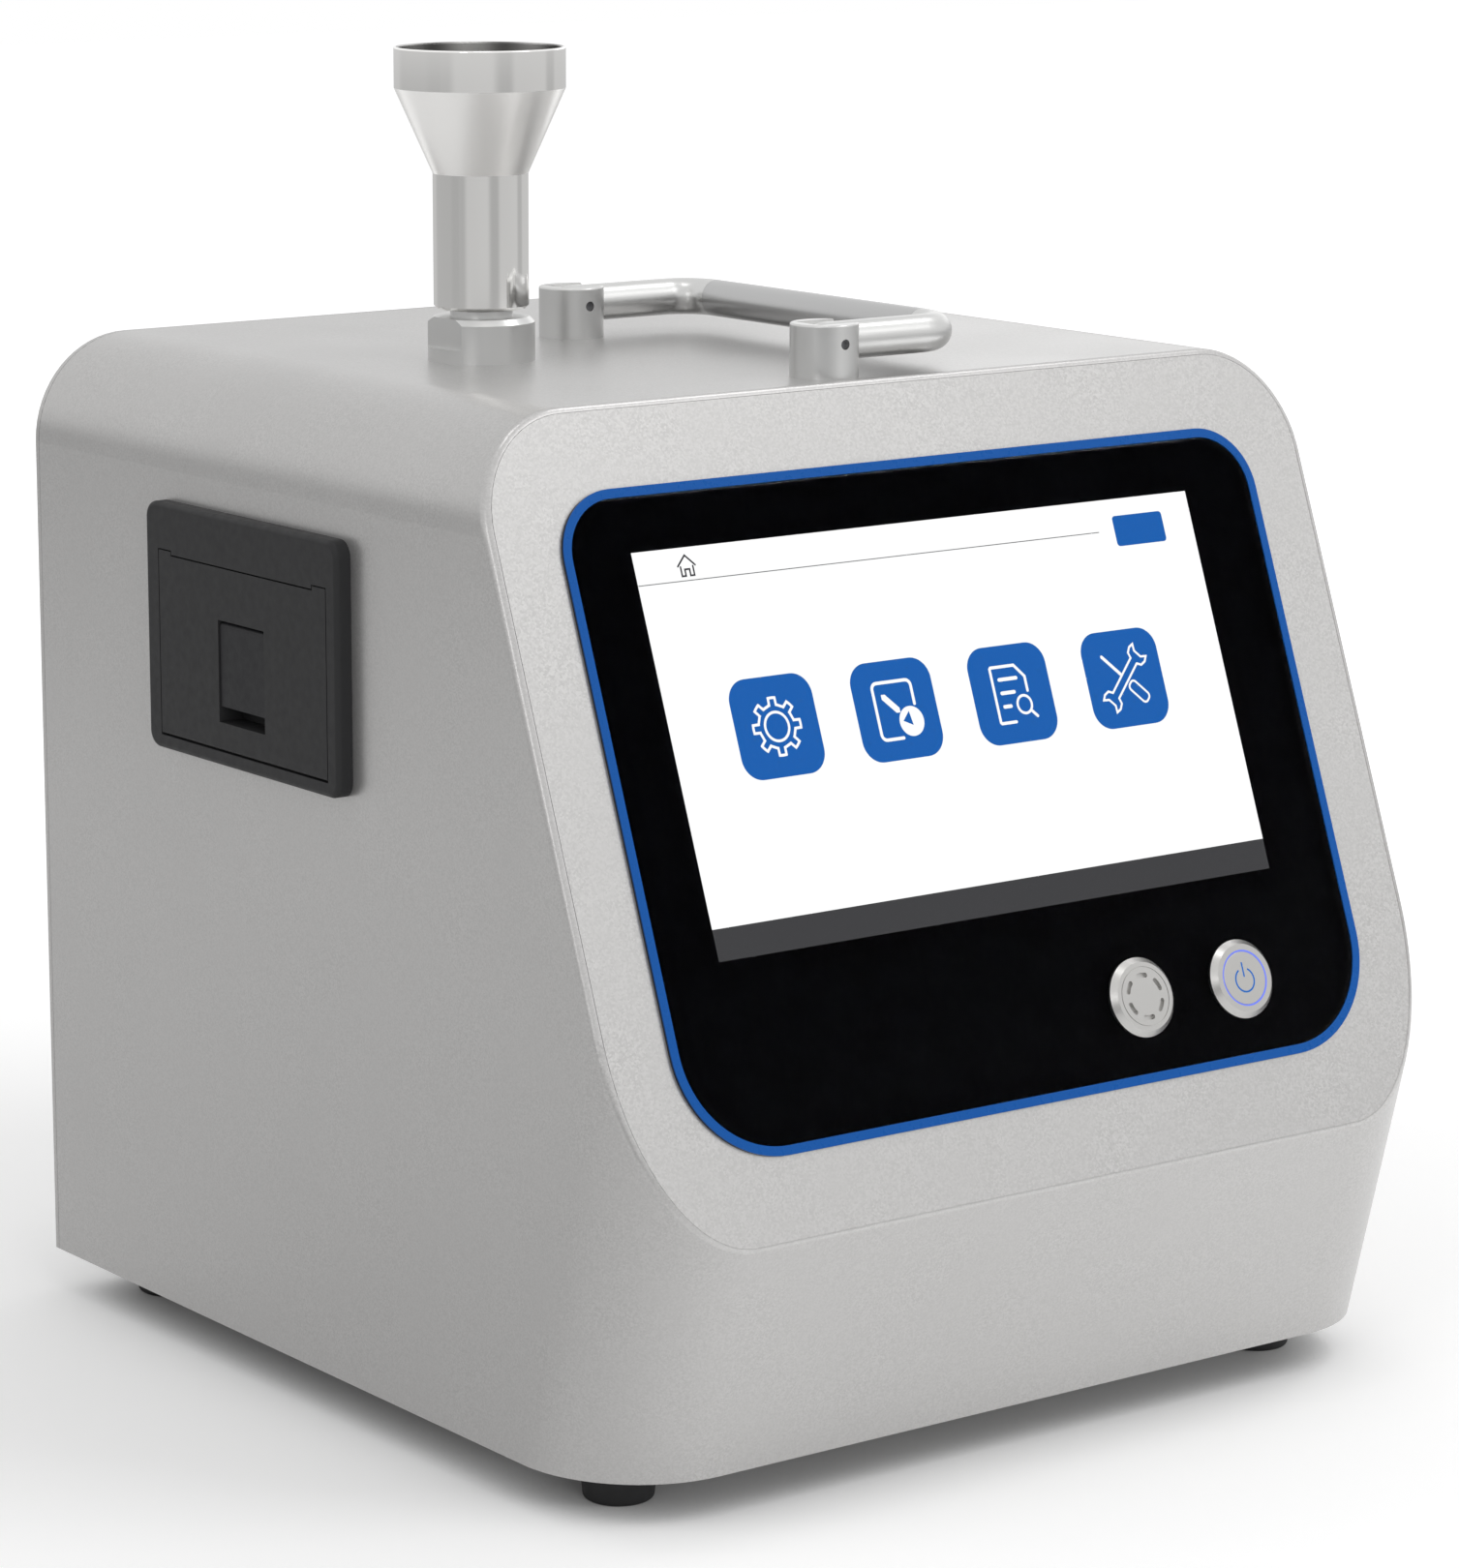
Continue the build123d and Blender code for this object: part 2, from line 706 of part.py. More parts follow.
with BuildPart() as inlet_fitting:
    with BuildSketch(inlet_plane):
        Circle(collar_radius)
    extrude(amount=collar_height)
    chamfer(inlet_fitting.faces().sort_by(Axis.Z)[-1].edges(), collar_chamfer)
    # two spanner flats
    with BuildSketch(inlet_plane.offset(flat_ledge)):
        with GridLocations(2 * flat_half + flat_cut, 0, 2, 1):
            Rectangle(flat_cut, 3 * collar_radius)
    extrude(amount=collar_height, mode=Mode.SUBTRACT)
    with BuildSketch(inlet_plane):
        Circle(neck_radius)
    extrude(amount=spigot_top)
    with BuildSketch(inlet_plane):
        Circle(stem_radius)
    extrude(amount=-stem_length)
    with BuildSketch(inlet_plane):
        Circle(barb_radius)
    extrude(amount=-stem_length - barb_length)
    with BuildSketch(inlet_plane.offset(spigot_top)):
        Circle(inlet_bore)
    extrude(amount=-spigot_top - stem_length - barb_length, mode=Mode.SUBTRACT)
write(inlet_fitting.part, "inlet_fitting")

with BuildPart() as inlet_nut:
    with BuildSketch(inlet_plane.offset(-wall)):
        RegularPolygon(inlet_nut_flats / 2, 6, major_radius=False)
        Circle(stem_radius + running_gap, mode=Mode.SUBTRACT)
    extrude(amount=-inlet_nut_height)
write(inlet_nut.part, "inlet_nut")

probe_bore = probe_tube_radius - probe_wall
mouth_bore = probe_mouth_radius - probe_wall
socket_radius = neck_radius + running_gap
with BuildPart() as inlet_probe:
    with BuildSketch(inlet_section):
        with BuildLine():
            Polyline(
                (socket_radius, probe_foot),
                (probe_tube_radius - foot_chamfer, probe_foot),
                (probe_tube_radius, probe_foot + foot_chamfer),
                (probe_tube_radius, probe_cone),
                (probe_mouth_radius, probe_band),
                (probe_mouth_radius, probe_mouth),
                (mouth_bore, probe_mouth),
                (mouth_bore, probe_band + cone_sink),
                (probe_bore, probe_cone + cone_sink),
                (probe_bore, probe_foot + socket_depth + bore_step),
                (socket_radius, probe_foot + socket_depth),
                close=True,
            )
        make_face()
    revolve(axis=Axis((inlet_x, inlet_y, 0), (0, 0, 1)))
    fillet(inlet_probe.edges().group_by(Axis.Z)[-1], mouth_rounding)
write(inlet_probe.part, "inlet_probe")

# ------------------------------------------------------------------ folding handle
leg_gap = 0.2                 # between a leg and the slot of its post
post_slot_width = 2 * (rod_radius + leg_gap)
slot_floor = post_height - 2 * (rod_radius + leg_gap)
slot_start = rod_radius + 2 * leg_gap   # of the slot's closed end behind the post's axis
slot_length = 2 * post_radius + rod_radius
post_rounding = 0.5
post_thread_radius = 1.7
post_thread_depth = slot_floor + 1.0
post_screw_length = wall + slot_floor
post_head_radius = 3.6
post_head_height = 2.6
pivot_z = case_top + post_height - rod_radius
front_leg_y = handle_y - post_spacing / 2
rear_leg_y = handle_y + post_spacing / 2
pin_length = 2 * post_radius - 2.6
grip_length = post_spacing - 2 * handle_bend - 2.0
grip_gap = 0.05
core_radius = 3.2


def handle_post(leg_y):
    """Turned post with an open slot for one leg of the handle and a cross hole for its pin."""
    base = Plane(origin=(post_x, leg_y, case_top))
    with BuildPart() as post:
        with BuildSketch(base):
            Circle(post_radius)
        extrude(amount=post_height)
        fillet(post.edges().group_by(Axis.Z)[-1], post_rounding)
        with BuildSketch(base.offset(slot_floor)):
            with Locations((slot_length / 2 - slot_start, 0)):
                Rectangle(slot_length, post_slot_width)
        extrude(amount=post_height, mode=Mode.SUBTRACT)
        with BuildSketch(base):
            Circle(post_thread_radius)
        extrude(amount=post_thread_depth, mode=Mode.SUBTRACT)
        add(pin_along_y(pin_radius, 3 * post_radius, post_x, leg_y, pivot_z), mode=Mode.SUBTRACT)
    return post.part


for leg_name, leg_y in (("front", front_leg_y), ("rear", rear_leg_y)):
    write(handle_post(leg_y), f"handle_post_{leg_name}")

with BuildPart() as handle_pins:
    for leg_y in (front_leg_y, rear_leg_y):
        add(pin_along_y(pin_radius, pin_length, post_x, leg_y, pivot_z))
write(handle_pins.part, "handle_pins")

with BuildPart() as handle_bar:
    with BuildLine() as handle_line:
        FilletPolyline(
            (post_x, front_leg_y, pivot_z),
            (post_x + handle_reach, front_leg_y, pivot_z),
            (post_x + handle_reach, rear_leg_y, pivot_z),
            (post_x, rear_leg_y, pivot_z),
            radius=handle_bend,
        )
    with BuildSketch(Plane(origin=(post_x, front_leg_y, pivot_z), z_dir=(1, 0, 0))):
        Circle(rod_radius)
    sweep()
    # ball ends that turn inside the posts
    with Locations((post_x, front_leg_y, pivot_z), (post_x, rear_leg_y, pivot_z)):
        Sphere(rod_radius)
    # middle turned down for the grip sleeve
    with BuildSketch(Plane.XZ.offset(-(handle_y + grip_length / 2))):
        with Locations((post_x + handle_reach, pivot_z)):
            Circle(rod_radius + cut_over)
            Circle(core_radius, mode=Mode.SUBTRACT)
    extrude(amount=grip_length, mode=Mode.SUBTRACT)
    for leg_y in (front_leg_y, rear_leg_y):
        add(pin_along_y(pin_radius + running_gap, 3 * rod_radius, post_x, leg_y, pivot_z), mode=Mode.SUBTRACT)
write(handle_bar.part, "handle_bar")

with BuildPart() as handle_grip:
    with BuildSketch(Plane.XZ.offset(-(handle_y + grip_length / 2 - grip_gap))):
        with Locations((post_x + handle_reach, pivot_z)):
            Circle(rod_radius)
            Circle(core_radius, mode=Mode.SUBTRACT)
    extrude(amount=grip_length - 2 * grip_gap)
write(handle_grip.part, "handle_grip")

with BuildPart() as post_screws:
    with BuildSketch(Plane.XY.offset(case_top - wall)):
        with Locations((post_x, handle_y)):
            with GridLocations(0, post_spacing, 1, 2):
                Circle(post_head_radius)
    extrude(amount=-post_head_height)
    with BuildSketch(Plane.XY.offset(case_top - wall)):
        with Locations((post_x, handle_y)):
            with GridLocations(0, post_spacing, 1, 2):
                Circle(post_thread_radius - running_gap)
    extrude(amount=post_screw_length)
write(post_screws.part, "post_screws")

# ------------------------------------------------------------------ feet
foot_recess_radius = 4.4
foot_recess_depth = 5.0
foot_screw_head = 3.6
foot_screw_head_height = 2.4
foot_rounding = 1.2
foot_nut_flats = 7.0
foot_nut_height = 3.0


def foot(x, y):
    """Tapered rubber foot with a recess for its screw."""
    section = Plane(origin=(x, y, 0), x_dir=(1, 0, 0), z_dir=(0, -1, 0))
    with BuildPart() as rubber:
        with BuildSketch(section):
            with BuildLine():
                FilletPolyline(
                    (foot_recess_radius, 0),
                    (foot_tip_radius, 0),
                    (foot_top_radius, foot_height),
                    (screw_m4 + hole_gap, foot_height),
                    (screw_m4 + hole_gap, foot_recess_depth),
                    (foot_recess_radius, foot_recess_depth),
                    radius=[0, foot_rounding, 0, 0, 0, 0],
                    close=True,
                )
            make_face()
        revolve(axis=Axis((x, y, 0), (0, 0, 1)))
    return rubber.part


foot_names = ("foot_front_left", "foot_front_right", "foot_back_left", "foot_back_right")
for foot_name, (x, y) in zip(foot_names, foot_points):
    write(foot(x, y), foot_name)

with BuildPart() as foot_screws:
    with BuildSketch(Plane.XY.offset(foot_recess_depth)):
        with Locations(*foot_points):
            Circle(foot_screw_head)
    extrude(amount=-foot_screw_head_height)
    with BuildSketch(Plane.XY.offset(foot_recess_depth)):
        with Locations(*foot_points):
            Circle(screw_m4)
    extrude(amount=base_top + foot_nut_height - foot_recess_depth)
write(foot_screws.part, "foot_screws")

with BuildPart() as foot_nuts:
    with BuildSketch(Plane.XY.offset(base_top)):
        with Locations(*foot_points):
            RegularPolygon(foot_nut_flats / 2, 6, major_radius=False)
            Circle(screw_m4 + running_gap, mode=Mode.SUBTRACT)
    extrude(amount=foot_nut_height)
write(foot_nuts.part, "foot_nuts")

# ------------------------------------------------------------------ screws of the housing
button_head_radius = 2.8
button_head_height = 1.5
button_head_rounding = 0.6
hex_key_radius = 1.1
hex_key_depth = 0.9
housing_screw_length = 9.0
rear_face = Plane.XZ.offset(-back_y)

with BuildPart() as rear_screws:
    with BuildSketch(rear_face):
        with Locations(*rear_boss_points):
            Circle(button_head_radius)
    extrude(amount=-button_head_height)
    fillet(rear_screws.edges().group_by(Axis.Y)[-1], button_head_rounding)
    # hexagon sockets
    with BuildSketch(rear_face.offset(-button_head_height)):
        with Locations(*rear_boss_points):
            RegularPolygon(hex_key_radius, 6)
    extrude(amount=hex_key_depth, mode=Mode.SUBTRACT)
    with BuildSketch(rear_face):
        with Locations(*rear_boss_points):
            Circle(boss_hole)
    extrude(amount=housing_screw_length)
write(rear_screws.part, "rear_screws")

with BuildPart() as base_screws:
    with BuildSketch(Plane.XY.offset(floor_z)):
        with Locations(*base_boss_points):
            Circle(button_head_radius)
    extrude(amount=-button_head_height)
    fillet(base_screws.edges().group_by(Axis.Z)[0], button_head_rounding)
    with BuildSketch(Plane.XY.offset(floor_z)):
        with Locations(*base_boss_points):
            Circle(boss_hole)
    extrude(amount=housing_screw_length)
write(base_screws.part, "base_screws")

# ------------------------------------------------------------------ cooling fan
fan_bore = 28.0
fan_corner = 4.0
motor_radius = 11.0
motor_base = 2.4
fan_hole_radius = 1.8
fan_shaft_length = 8.0
hub_rounding = 1.0
root_pitch = 32.0
tip_pitch = 52.0
strut_width = 3.0
fan_shaft_radius = 1.5
rotor_gap = 0.6
blade_count = 7
blade_tip = 26.6
blade_root = motor_radius - 0.6
blade_chord = 11.5
blade_thickness = 1.2
fan_inner_y = back_y - rear_thickness - fan_depth
fan_plane = Plane(origin=(fan_x, fan_inner_y, fan_z), x_dir=(1, 0, 0), z_dir=(0, 1, 0))
rotor_base = motor_base + rotor_gap
rotor_depth = fan_depth - rotor_base - 1.0
strut_length = fan_bore - motor_radius + 2.0
fan_screw_length = rear_thickness + fan_depth + 1.0
rotor_bore_length = motor_base + fan_shaft_length - rotor_base + 0.5

with BuildPart() as fan_frame:
    with BuildSketch(fan_plane):
        RectangleRounded(fan_size, fan_size, fan_corner)
        with GridLocations(fan_pitch, fan_pitch, 2, 2):
            Circle(fan_hole_radius, mode=Mode.SUBTRACT)
        Circle(fan_bore, mode=Mode.SUBTRACT)
    extrude(amount=fan_depth)
    with BuildSketch(fan_plane):
        Circle(motor_radius)
        with PolarLocations(0, 4, start_angle=45):
            with Locations(((motor_radius + fan_bore) / 2, 0)):
                Rectangle(strut_length, strut_width)
    extrude(amount=motor_base)
    with BuildSketch(fan_plane):
        Circle(fan_shaft_radius)
    extrude(amount=motor_base + fan_shaft_length)
write(fan_frame.part, "fan_frame")


def fan_blade(angle):
    """One twisted blade, lofted from the hub to the tip."""
    mid = rotor_base + rotor_depth / 2
    spoke = Vector(cos(angle), sin(angle), 0)
    across = Vector(-sin(angle), cos(angle), 0)
    with BuildPart() as blade:
        for radius, pitch in ((blade_root, root_pitch), (blade_tip, tip_pitch)):
            centre = fan_plane.from_local_coords(spoke * radius + Vector(0, 0, mid))
            lean = across * sin(radians(pitch)) + Vector(0, 0, cos(radians(pitch)))
            outward = fan_plane.from_local_coords(spoke) - fan_plane.origin
            chord = fan_plane.from_local_coords(lean) - fan_plane.origin
            with BuildSketch(Plane(origin=centre, x_dir=chord, z_dir=outward)):
                SlotOverall(blade_chord, blade_thickness)
        loft()
    return blade.part


blades = [fan_blade(2 * pi * i / blade_count) for i in range(blade_count)]

with BuildPart() as fan_rotor:
    with BuildSketch(fan_plane.offset(rotor_base)):
        Circle(motor_radius)
    extrude(amount=rotor_depth)
    fillet(fan_rotor.faces().sort_by(Axis.Y)[-1].edges(), hub_rounding)
    add(blades)
    with BuildSketch(fan_plane.offset(rotor_base)):
        Circle(fan_shaft_radius + running_gap)
    extrude(amount=rotor_bore_length, mode=Mode.SUBTRACT)
write(fan_rotor.part, "fan_rotor")

with BuildPart() as fan_screws:
    with BuildSketch(rear_face):
        with Locations((fan_x, fan_z)):
            with GridLocations(fan_pitch, fan_pitch, 2, 2):
                Circle(button_head_radius)
    extrude(amount=-button_head_height)
    fillet(fan_screws.edges().group_by(Axis.Y)[-1], button_head_rounding)
    with BuildSketch(rear_face):
        with Locations((fan_x, fan_z)):
            with GridLocations(fan_pitch, fan_pitch, 2, 2):
                Circle(screw_m3)
    extrude(amount=fan_screw_length)
write(fan_screws.part, "fan_screws")

# ------------------------------------------------------------------ rear sockets and exhaust
mains_depth = 18.0
mains_floor = 3.0
flange_margin = 2.5
flange_thickness = 1.5
flange_corner = 2.0
plug_size = (24.4, 16.6)
plug_corner = 4.5
blade_size = (2.0, 4.0)
earth_rise = 2.0
line_drop = 1.0
line_pitch = 14.0

with BuildPart() as power_inlet:
    with BuildSketch(rear_face):
        with Locations((inlet_socket_x, inlet_socket_z)):
            RectangleRounded(*(side + 2 * flange_margin for side in inlet_socket_size), flange_corner)
    extrude(amount=-flange_thickness)
    with BuildSketch(rear_face):
        with Locations((inlet_socket_x, inlet_socket_z)):
            Rectangle(*inlet_socket_size)
    extrude(amount=mains_depth + mains_floor)
    # plug cavity with two clipped lower corners, and its three blades
    with BuildSketch(rear_face.offset(-flange_thickness)):
        with Locations((inlet_socket_x, inlet_socket_z)):
            cavity_outline = Rectangle(*plug_size)
        chamfer(cavity_outline.vertices().group_by(Axis.Y)[0], plug_corner)
    extrude(amount=mains_depth, mode=Mode.SUBTRACT)
    with BuildSketch(rear_face.offset(mains_depth)):
        with Locations((inlet_socket_x, inlet_socket_z + earth_rise)):
            Rectangle(*blade_size)
        with Locations((inlet_socket_x, inlet_socket_z - line_drop)):
            with GridLocations(line_pitch, 0, 2, 1):
                Rectangle(*blade_size)
    extrude(amount=mains_floor - mains_depth)
write(power_inlet.part, "power_inlet")

lan_length = 16.0
lan_plug_size = (11.9, 8.0)
lan_plug_drop = 0.6
lan_catch_size = (6.0, 2.4)
lan_catch_rise = 3.8
lan_plug_depth = 13.0

with BuildPart() as lan_socket:
    with BuildSketch(rear_face):
        with Locations((lan_x, port_z)):
            Rectangle(*lan_size)
    extrude(amount=lan_length)
    with BuildSketch(rear_face):
        with Locations((lan_x, port_z - lan_plug_drop)):
            Rectangle(*lan_plug_size)
        with Locations((lan_x, port_z + lan_catch_rise)):
            Rectangle(*lan_catch_size)
    extrude(amount=lan_plug_depth, mode=Mode.SUBTRACT)
write(lan_socket.part, "lan_socket")

usb_length = 15.0
usb_shell = 0.7
usb_depth = 12.0
usb_tongue_size = (11.2, 1.9)
usb_tongue_rise = 1.3
usb_tongue_inset = 1.0

with BuildPart() as usb_socket:
    with BuildSketch(rear_face):
        with Locations((usb_x, port_z)):
            Rectangle(*usb_size)
    extrude(amount=usb_length)
    with BuildSketch(rear_face):
        with Locations((usb_x, port_z)):
            Rectangle(*(side - 2 * usb_shell for side in usb_size))
    extrude(amount=usb_depth, mode=Mode.SUBTRACT)
    # tongue, a little back from the mouth
    with BuildSketch(rear_face.offset(usb_tongue_inset)):
        with Locations((usb_x, port_z + usb_tongue_rise)):
            Rectangle(*usb_tongue_size)
    extrude(amount=usb_depth)
write(usb_socket.part, "usb_socket")

exhaust_plane = Plane(origin=(exhaust_x, back_y, exhaust_z), x_dir=(1, 0, 0), z_dir=(0, -1, 0))
cap_flange = 2.5
cap_flange_thickness = 1.5
cap_length = 8.0
cap_wall = 1.5
cap_hole_radius = 1.2
cap_hole_circles = ((4.2, 6), (7.8, 12))   # radius and number of holes
barb_reach = 22.0

with BuildPart() as exhaust_cap:
    with BuildSketch(exhaust_plane):
        Circle(exhaust_radius + cap_flange)
    extrude(amount=-cap_flange_thickness)
    fillet(exhaust_cap.edges().group_by(Axis.Y)[-1], button_head_rounding)
    with BuildSketch(exhaust_plane):
        Circle(exhaust_radius)
    extrude(amount=cap_length)
    with BuildSketch(exhaust_plane.offset(cap_length)):
        Circle(barb_radius)
    extrude(amount=barb_reach - cap_length)
    # chamber behind the grille, open to the hose barb
    with BuildSketch(exhaust_plane.offset(cap_wall)):
        Circle(exhaust_radius - cap_wall)
    extrude(amount=cap_length - 2 * cap_wall, mode=Mode.SUBTRACT)
    with BuildSketch(exhaust_plane.offset(cap_wall)):
        Circle(inlet_bore)
    extrude(amount=barb_reach, mode=Mode.SUBTRACT)
    with BuildSketch(exhaust_plane.offset(-2 * cap_wall)):
        Circle(cap_hole_radius)
        for circle_radius, holes in cap_hole_circles:
            with PolarLocations(circle_radius, holes):
                Circle(cap_hole_radius)
    extrude(amount=4 * cap_wall, mode=Mode.SUBTRACT)
write(exhaust_cap.part, "exhaust_cap")

# ------------------------------------------------------------------ air path and power inside
hose_wall = 2.0
hose_outer = barb_radius + hose_wall
hose_gap = 0.5                # between a hose and the piece that its barb stands on
block_x = -46.0
block_y = 24.1
block_z = 158.0
block_size = (60.0, 46.0, 40.0)
barb_plane_z = case_top - stem_length
block_top = block_z + block_size[2] / 2
block_bottom = block_z - block_size[2] / 2
block_corner = 3.0

with BuildPart() as sensor_block:
    with BuildSketch(Plane.XY.offset(block_bottom)):
        with Locations((block_x, block_y)):
            RectangleRounded(block_size[0], block_size[1], block_corner)
    extrude(amount=block_size[2])
    # inlet and outlet barbs in line with the sample nozzle
    with BuildSketch(Plane.XY.offset(block_bottom - barb_length)):
        with Locations((inlet_x, inlet_y)):
            Circle(barb_radius)
    extrude(amount=block_size[2] + 2 * barb_length)
    with BuildSketch(Plane.XY.offset(block_bottom - barb_length)):
        with Locations((inlet_x, inlet_y)):
            Circle(inlet_bore)
    extrude(amount=block_size[2] + 2 * barb_length, mode=Mode.SUBTRACT)
write(sensor_block.part, "sensor_block")

laser_flange = (24.0, 24.0, 5.0)
laser_radius = 10.0
laser_length = 22.0
laser_face = Plane.YZ.offset(block_x + block_size[0] / 2)

with BuildPart() as laser_module:
    with BuildSketch(laser_face):
        with Locations((block_y, block_z)):
            Rectangle(laser_flange[0], laser_flange[1])
    extrude(amount=laser_flange[2])
    with BuildSketch(laser_face.offset(laser_flange[2])):
        with Locations((block_y, block_z)):
            Circle(laser_radius)
    extrude(amount=laser_length)
write(laser_module.part, "laser_module")

detector_flange = (26.0, 26.0, 4.0)
detector_radius = 9.0
detector_length = 16.0
detector_face = Plane(origin=(0, block_y + block_size[1] / 2, 0), x_dir=(-1, 0, 0), z_dir=(0, 1, 0))

with BuildPart() as light_detector:
    with BuildSketch(detector_face):
        with Locations((-inlet_x, block_z)):
            Rectangle(detector_flange[0], detector_flange[1])
    extrude(amount=detector_flange[2])
    with BuildSketch(detector_face.offset(detector_flange[2])):
        with Locations((-inlet_x, block_z)):
            Circle(detector_radius)
    extrude(amount=detector_length)
write(light_detector.part, "light_detector")

with BuildPart() as inlet_hose:
    with BuildSketch(Plane.XY.offset(block_top + hose_gap)):
        with Locations((inlet_x, inlet_y)):
            Circle(hose_outer)
            Circle(barb_radius, mode=Mode.SUBTRACT)
    extrude(amount=barb_plane_z - block_top - 2 * hose_gap)
write(inlet_hose.part, "inlet_hose")

pump_x = 52.0
pump_y = 10.0
pump_size = (46.0, 92.0, 50.0)
mount_height = 6.0
mount_radius = 5.0
mount_pitch = (34.0, 74.0)
motor_length = 42.0
pump_motor_radius = 19.0
pump_corner = 5.0
pump_z = base_top + mount_height
pump_port_z = pump_z + pump_size[2] / 2
with BuildPart() as pump_body:
    with BuildSketch(Plane.XY.offset(pump_z)):
        with Locations((pump_x, pump_y)):
            RectangleRounded(pump_size[0], pump_size[1], pump_corner)
    extrude(amount=pump_size[2])
    # inlet barb towards the sensor, outlet barb towards the filter
    with BuildSketch(Plane.YZ.offset(pump_x - pump_size[0] / 2)):
        with Locations((inlet_y, pump_port_z)):
            Circle(barb_radius)
    extrude(amount=-barb_length)
    with BuildSketch(Plane.XZ.offset(-(pump_y + pump_size[1] / 2))):
        with Locations((exhaust_x, exhaust_z)):
            Circle(barb_radius)
    extrude(amount=-barb_length)
write(pump_body.part, "pump_body")

with BuildPart() as pump_motor:
    with BuildSketch(Plane.XZ.offset(-(pump_y - pump_size[1] / 2))):
        with Locations((pump_x, pump_port_z)):
            Circle(pump_motor_radius)
    extrude(amount=motor_length)
write(pump_motor.part, "pump_motor")

with BuildPart() as pump_mounts:
    with BuildSketch(Plane.XY.offset(base_top)):
        with Locations((pump_x, pump_y)):
            with GridLocations(*mount_pitch, 2, 2):
                Circle(mount_radius)
    extrude(amount=mount_height)
write(pump_mounts.part, "pump_mounts")

hose_bend = 30.0
hose_start = (inlet_x, inlet_y, block_bottom - hose_gap)

with BuildPart() as pump_hose:
    with BuildLine():
        FilletPolyline(
            hose_start,
            (inlet_x, inlet_y, pump_port_z),
            (pump_x - pump_size[0] / 2 - hose_gap, inlet_y, pump_port_z),
            radius=hose_bend,
        )
    with BuildSketch(Plane(origin=hose_start, z_dir=(0, 0, -1))):
        Circle(hose_outer)
        Circle(barb_radius, mode=Mode.SUBTRACT)
    sweep()
write(pump_hose.part, "pump_hose")

filter_radius = 24.0
filter_length = 20.0
filter_chamfer = 3.0
filter_spigot = 4.0
filter_front = pump_y + pump_size[1] / 2 + barb_length + 2 * hose_gap

with BuildPart() as exhaust_filter:
    with BuildSketch(Plane.XZ.offset(-filter_front)):
        with Locations((exhaust_x, exhaust_z)):
            Circle(filter_radius)
    extrude(amount=-filter_length)
    chamfer(exhaust_filter.edges(), filter_chamfer)
    with BuildSketch(Plane.XZ.offset(-filter_front - filter_length)):
        with Locations((exhaust_x, exhaust_z)):
            Circle(barb_radius)
    extrude(amount=-filter_spigot)
write(exhaust_filter.part, "exhaust_filter")

battery_x = -52.0
battery_size = (96.0, 70.0, 46.0)
battery_y = -44.0
battery_corner = 4.0

with BuildPart() as battery_pack:
    with BuildSketch(Plane.XY.offset(base_top)):
        with Locations((battery_x, battery_y)):
            Rectangle(battery_size[0], battery_size[1])
    extrude(amount=battery_size[2])
    fillet(battery_pack.edges().filter_by(Axis.Z), battery_corner)
write(battery_pack.part, "battery_pack")

strap_thickness = 1.5
strap_width = 18.0
strap_foot = 13.0
strap_gap = 0.1
strap_span = battery_size[0] + 2 * strap_gap

with BuildPart() as battery_strap:
    with BuildSketch(Plane.XZ.offset(-(battery_y + strap_width / 2))):
        with Locations((battery_x, base_top + (battery_size[2] + strap_thickness) / 2)):
            Rectangle(strap_span + 2 * strap_thickness, battery_size[2] + strap_thickness)
        with Locations((battery_x, base_top + strap_thickness / 2)):
            Rectangle(battery_size[0] + 2 * strap_foot, strap_thickness)
        with Locations((battery_x, base_top + battery_size[2] / 2)):
            Rectangle(strap_span, battery_size[2] + strap_gap, mode=Mode.SUBTRACT)
    extrude(amount=strap_width)
write(battery_strap.part, "battery_strap")

supply_place = (-72.0, 66.0)
supply_size = (72.0, 50.0, 24.0)
supply_corner = 2.0

with BuildPart() as power_supply:
    with BuildSketch(Plane.XY.offset(base_top)):
        with Locations(supply_place):
            RectangleRounded(supply_size[0], supply_size[1], supply_corner)
    extrude(amount=supply_size[2])
write(power_supply.part, "power_supply")
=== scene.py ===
import math

import bmesh
import bpy
from mathutils import Matrix, Vector
from mathutils.geometry import tessellate_polygon


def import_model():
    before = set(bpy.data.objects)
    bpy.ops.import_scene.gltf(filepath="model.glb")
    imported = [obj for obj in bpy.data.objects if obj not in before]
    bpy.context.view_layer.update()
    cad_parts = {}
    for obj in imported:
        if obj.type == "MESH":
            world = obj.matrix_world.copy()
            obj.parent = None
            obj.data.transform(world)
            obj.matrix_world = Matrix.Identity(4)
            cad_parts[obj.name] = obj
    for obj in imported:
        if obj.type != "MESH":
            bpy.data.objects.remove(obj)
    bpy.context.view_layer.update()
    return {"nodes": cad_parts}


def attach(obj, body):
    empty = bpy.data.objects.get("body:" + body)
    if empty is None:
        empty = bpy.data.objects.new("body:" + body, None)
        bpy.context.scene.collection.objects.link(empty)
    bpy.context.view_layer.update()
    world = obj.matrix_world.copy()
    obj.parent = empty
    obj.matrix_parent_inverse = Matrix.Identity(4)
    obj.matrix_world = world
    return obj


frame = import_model()

MM = 0.001

# the sloping panel: a point at its upper edge in millimetres, and its directions
SCREEN_TOP = Vector((0.0, -60.2, 244.0))
PANEL_RIGHT = Vector((1.0, 0.0, 0.0))
PANEL_DOWN = Vector((0.0, -0.356017, -0.934479))
PANEL_OUT = Vector((0.0, -0.934479, 0.356017))

# the inlet probe in metres: its axis, the heights of its cone and the radius of its mouth
PROBE_AXIS = (-0.0572, 0.0241)
CONE_FOOT, CONE_TOP = 0.288, 0.3079
MOUTH_BORE = 0.0196
# painted shade and reflection in the mouth bore: this many dark streaks round the axis
MOUTH_SHADE_STREAKS = 7.0


# ---------------------------------------------------------------- materials
def srgb(r, g, b):
    """Display values from 0 to 255 as linear colour."""
    def linear(c):
        c /= 255.0
        return c / 12.92 if c <= 0.04045 else ((c + 0.055) / 1.055) ** 2.4
    return (linear(r), linear(g), linear(b), 1.0)


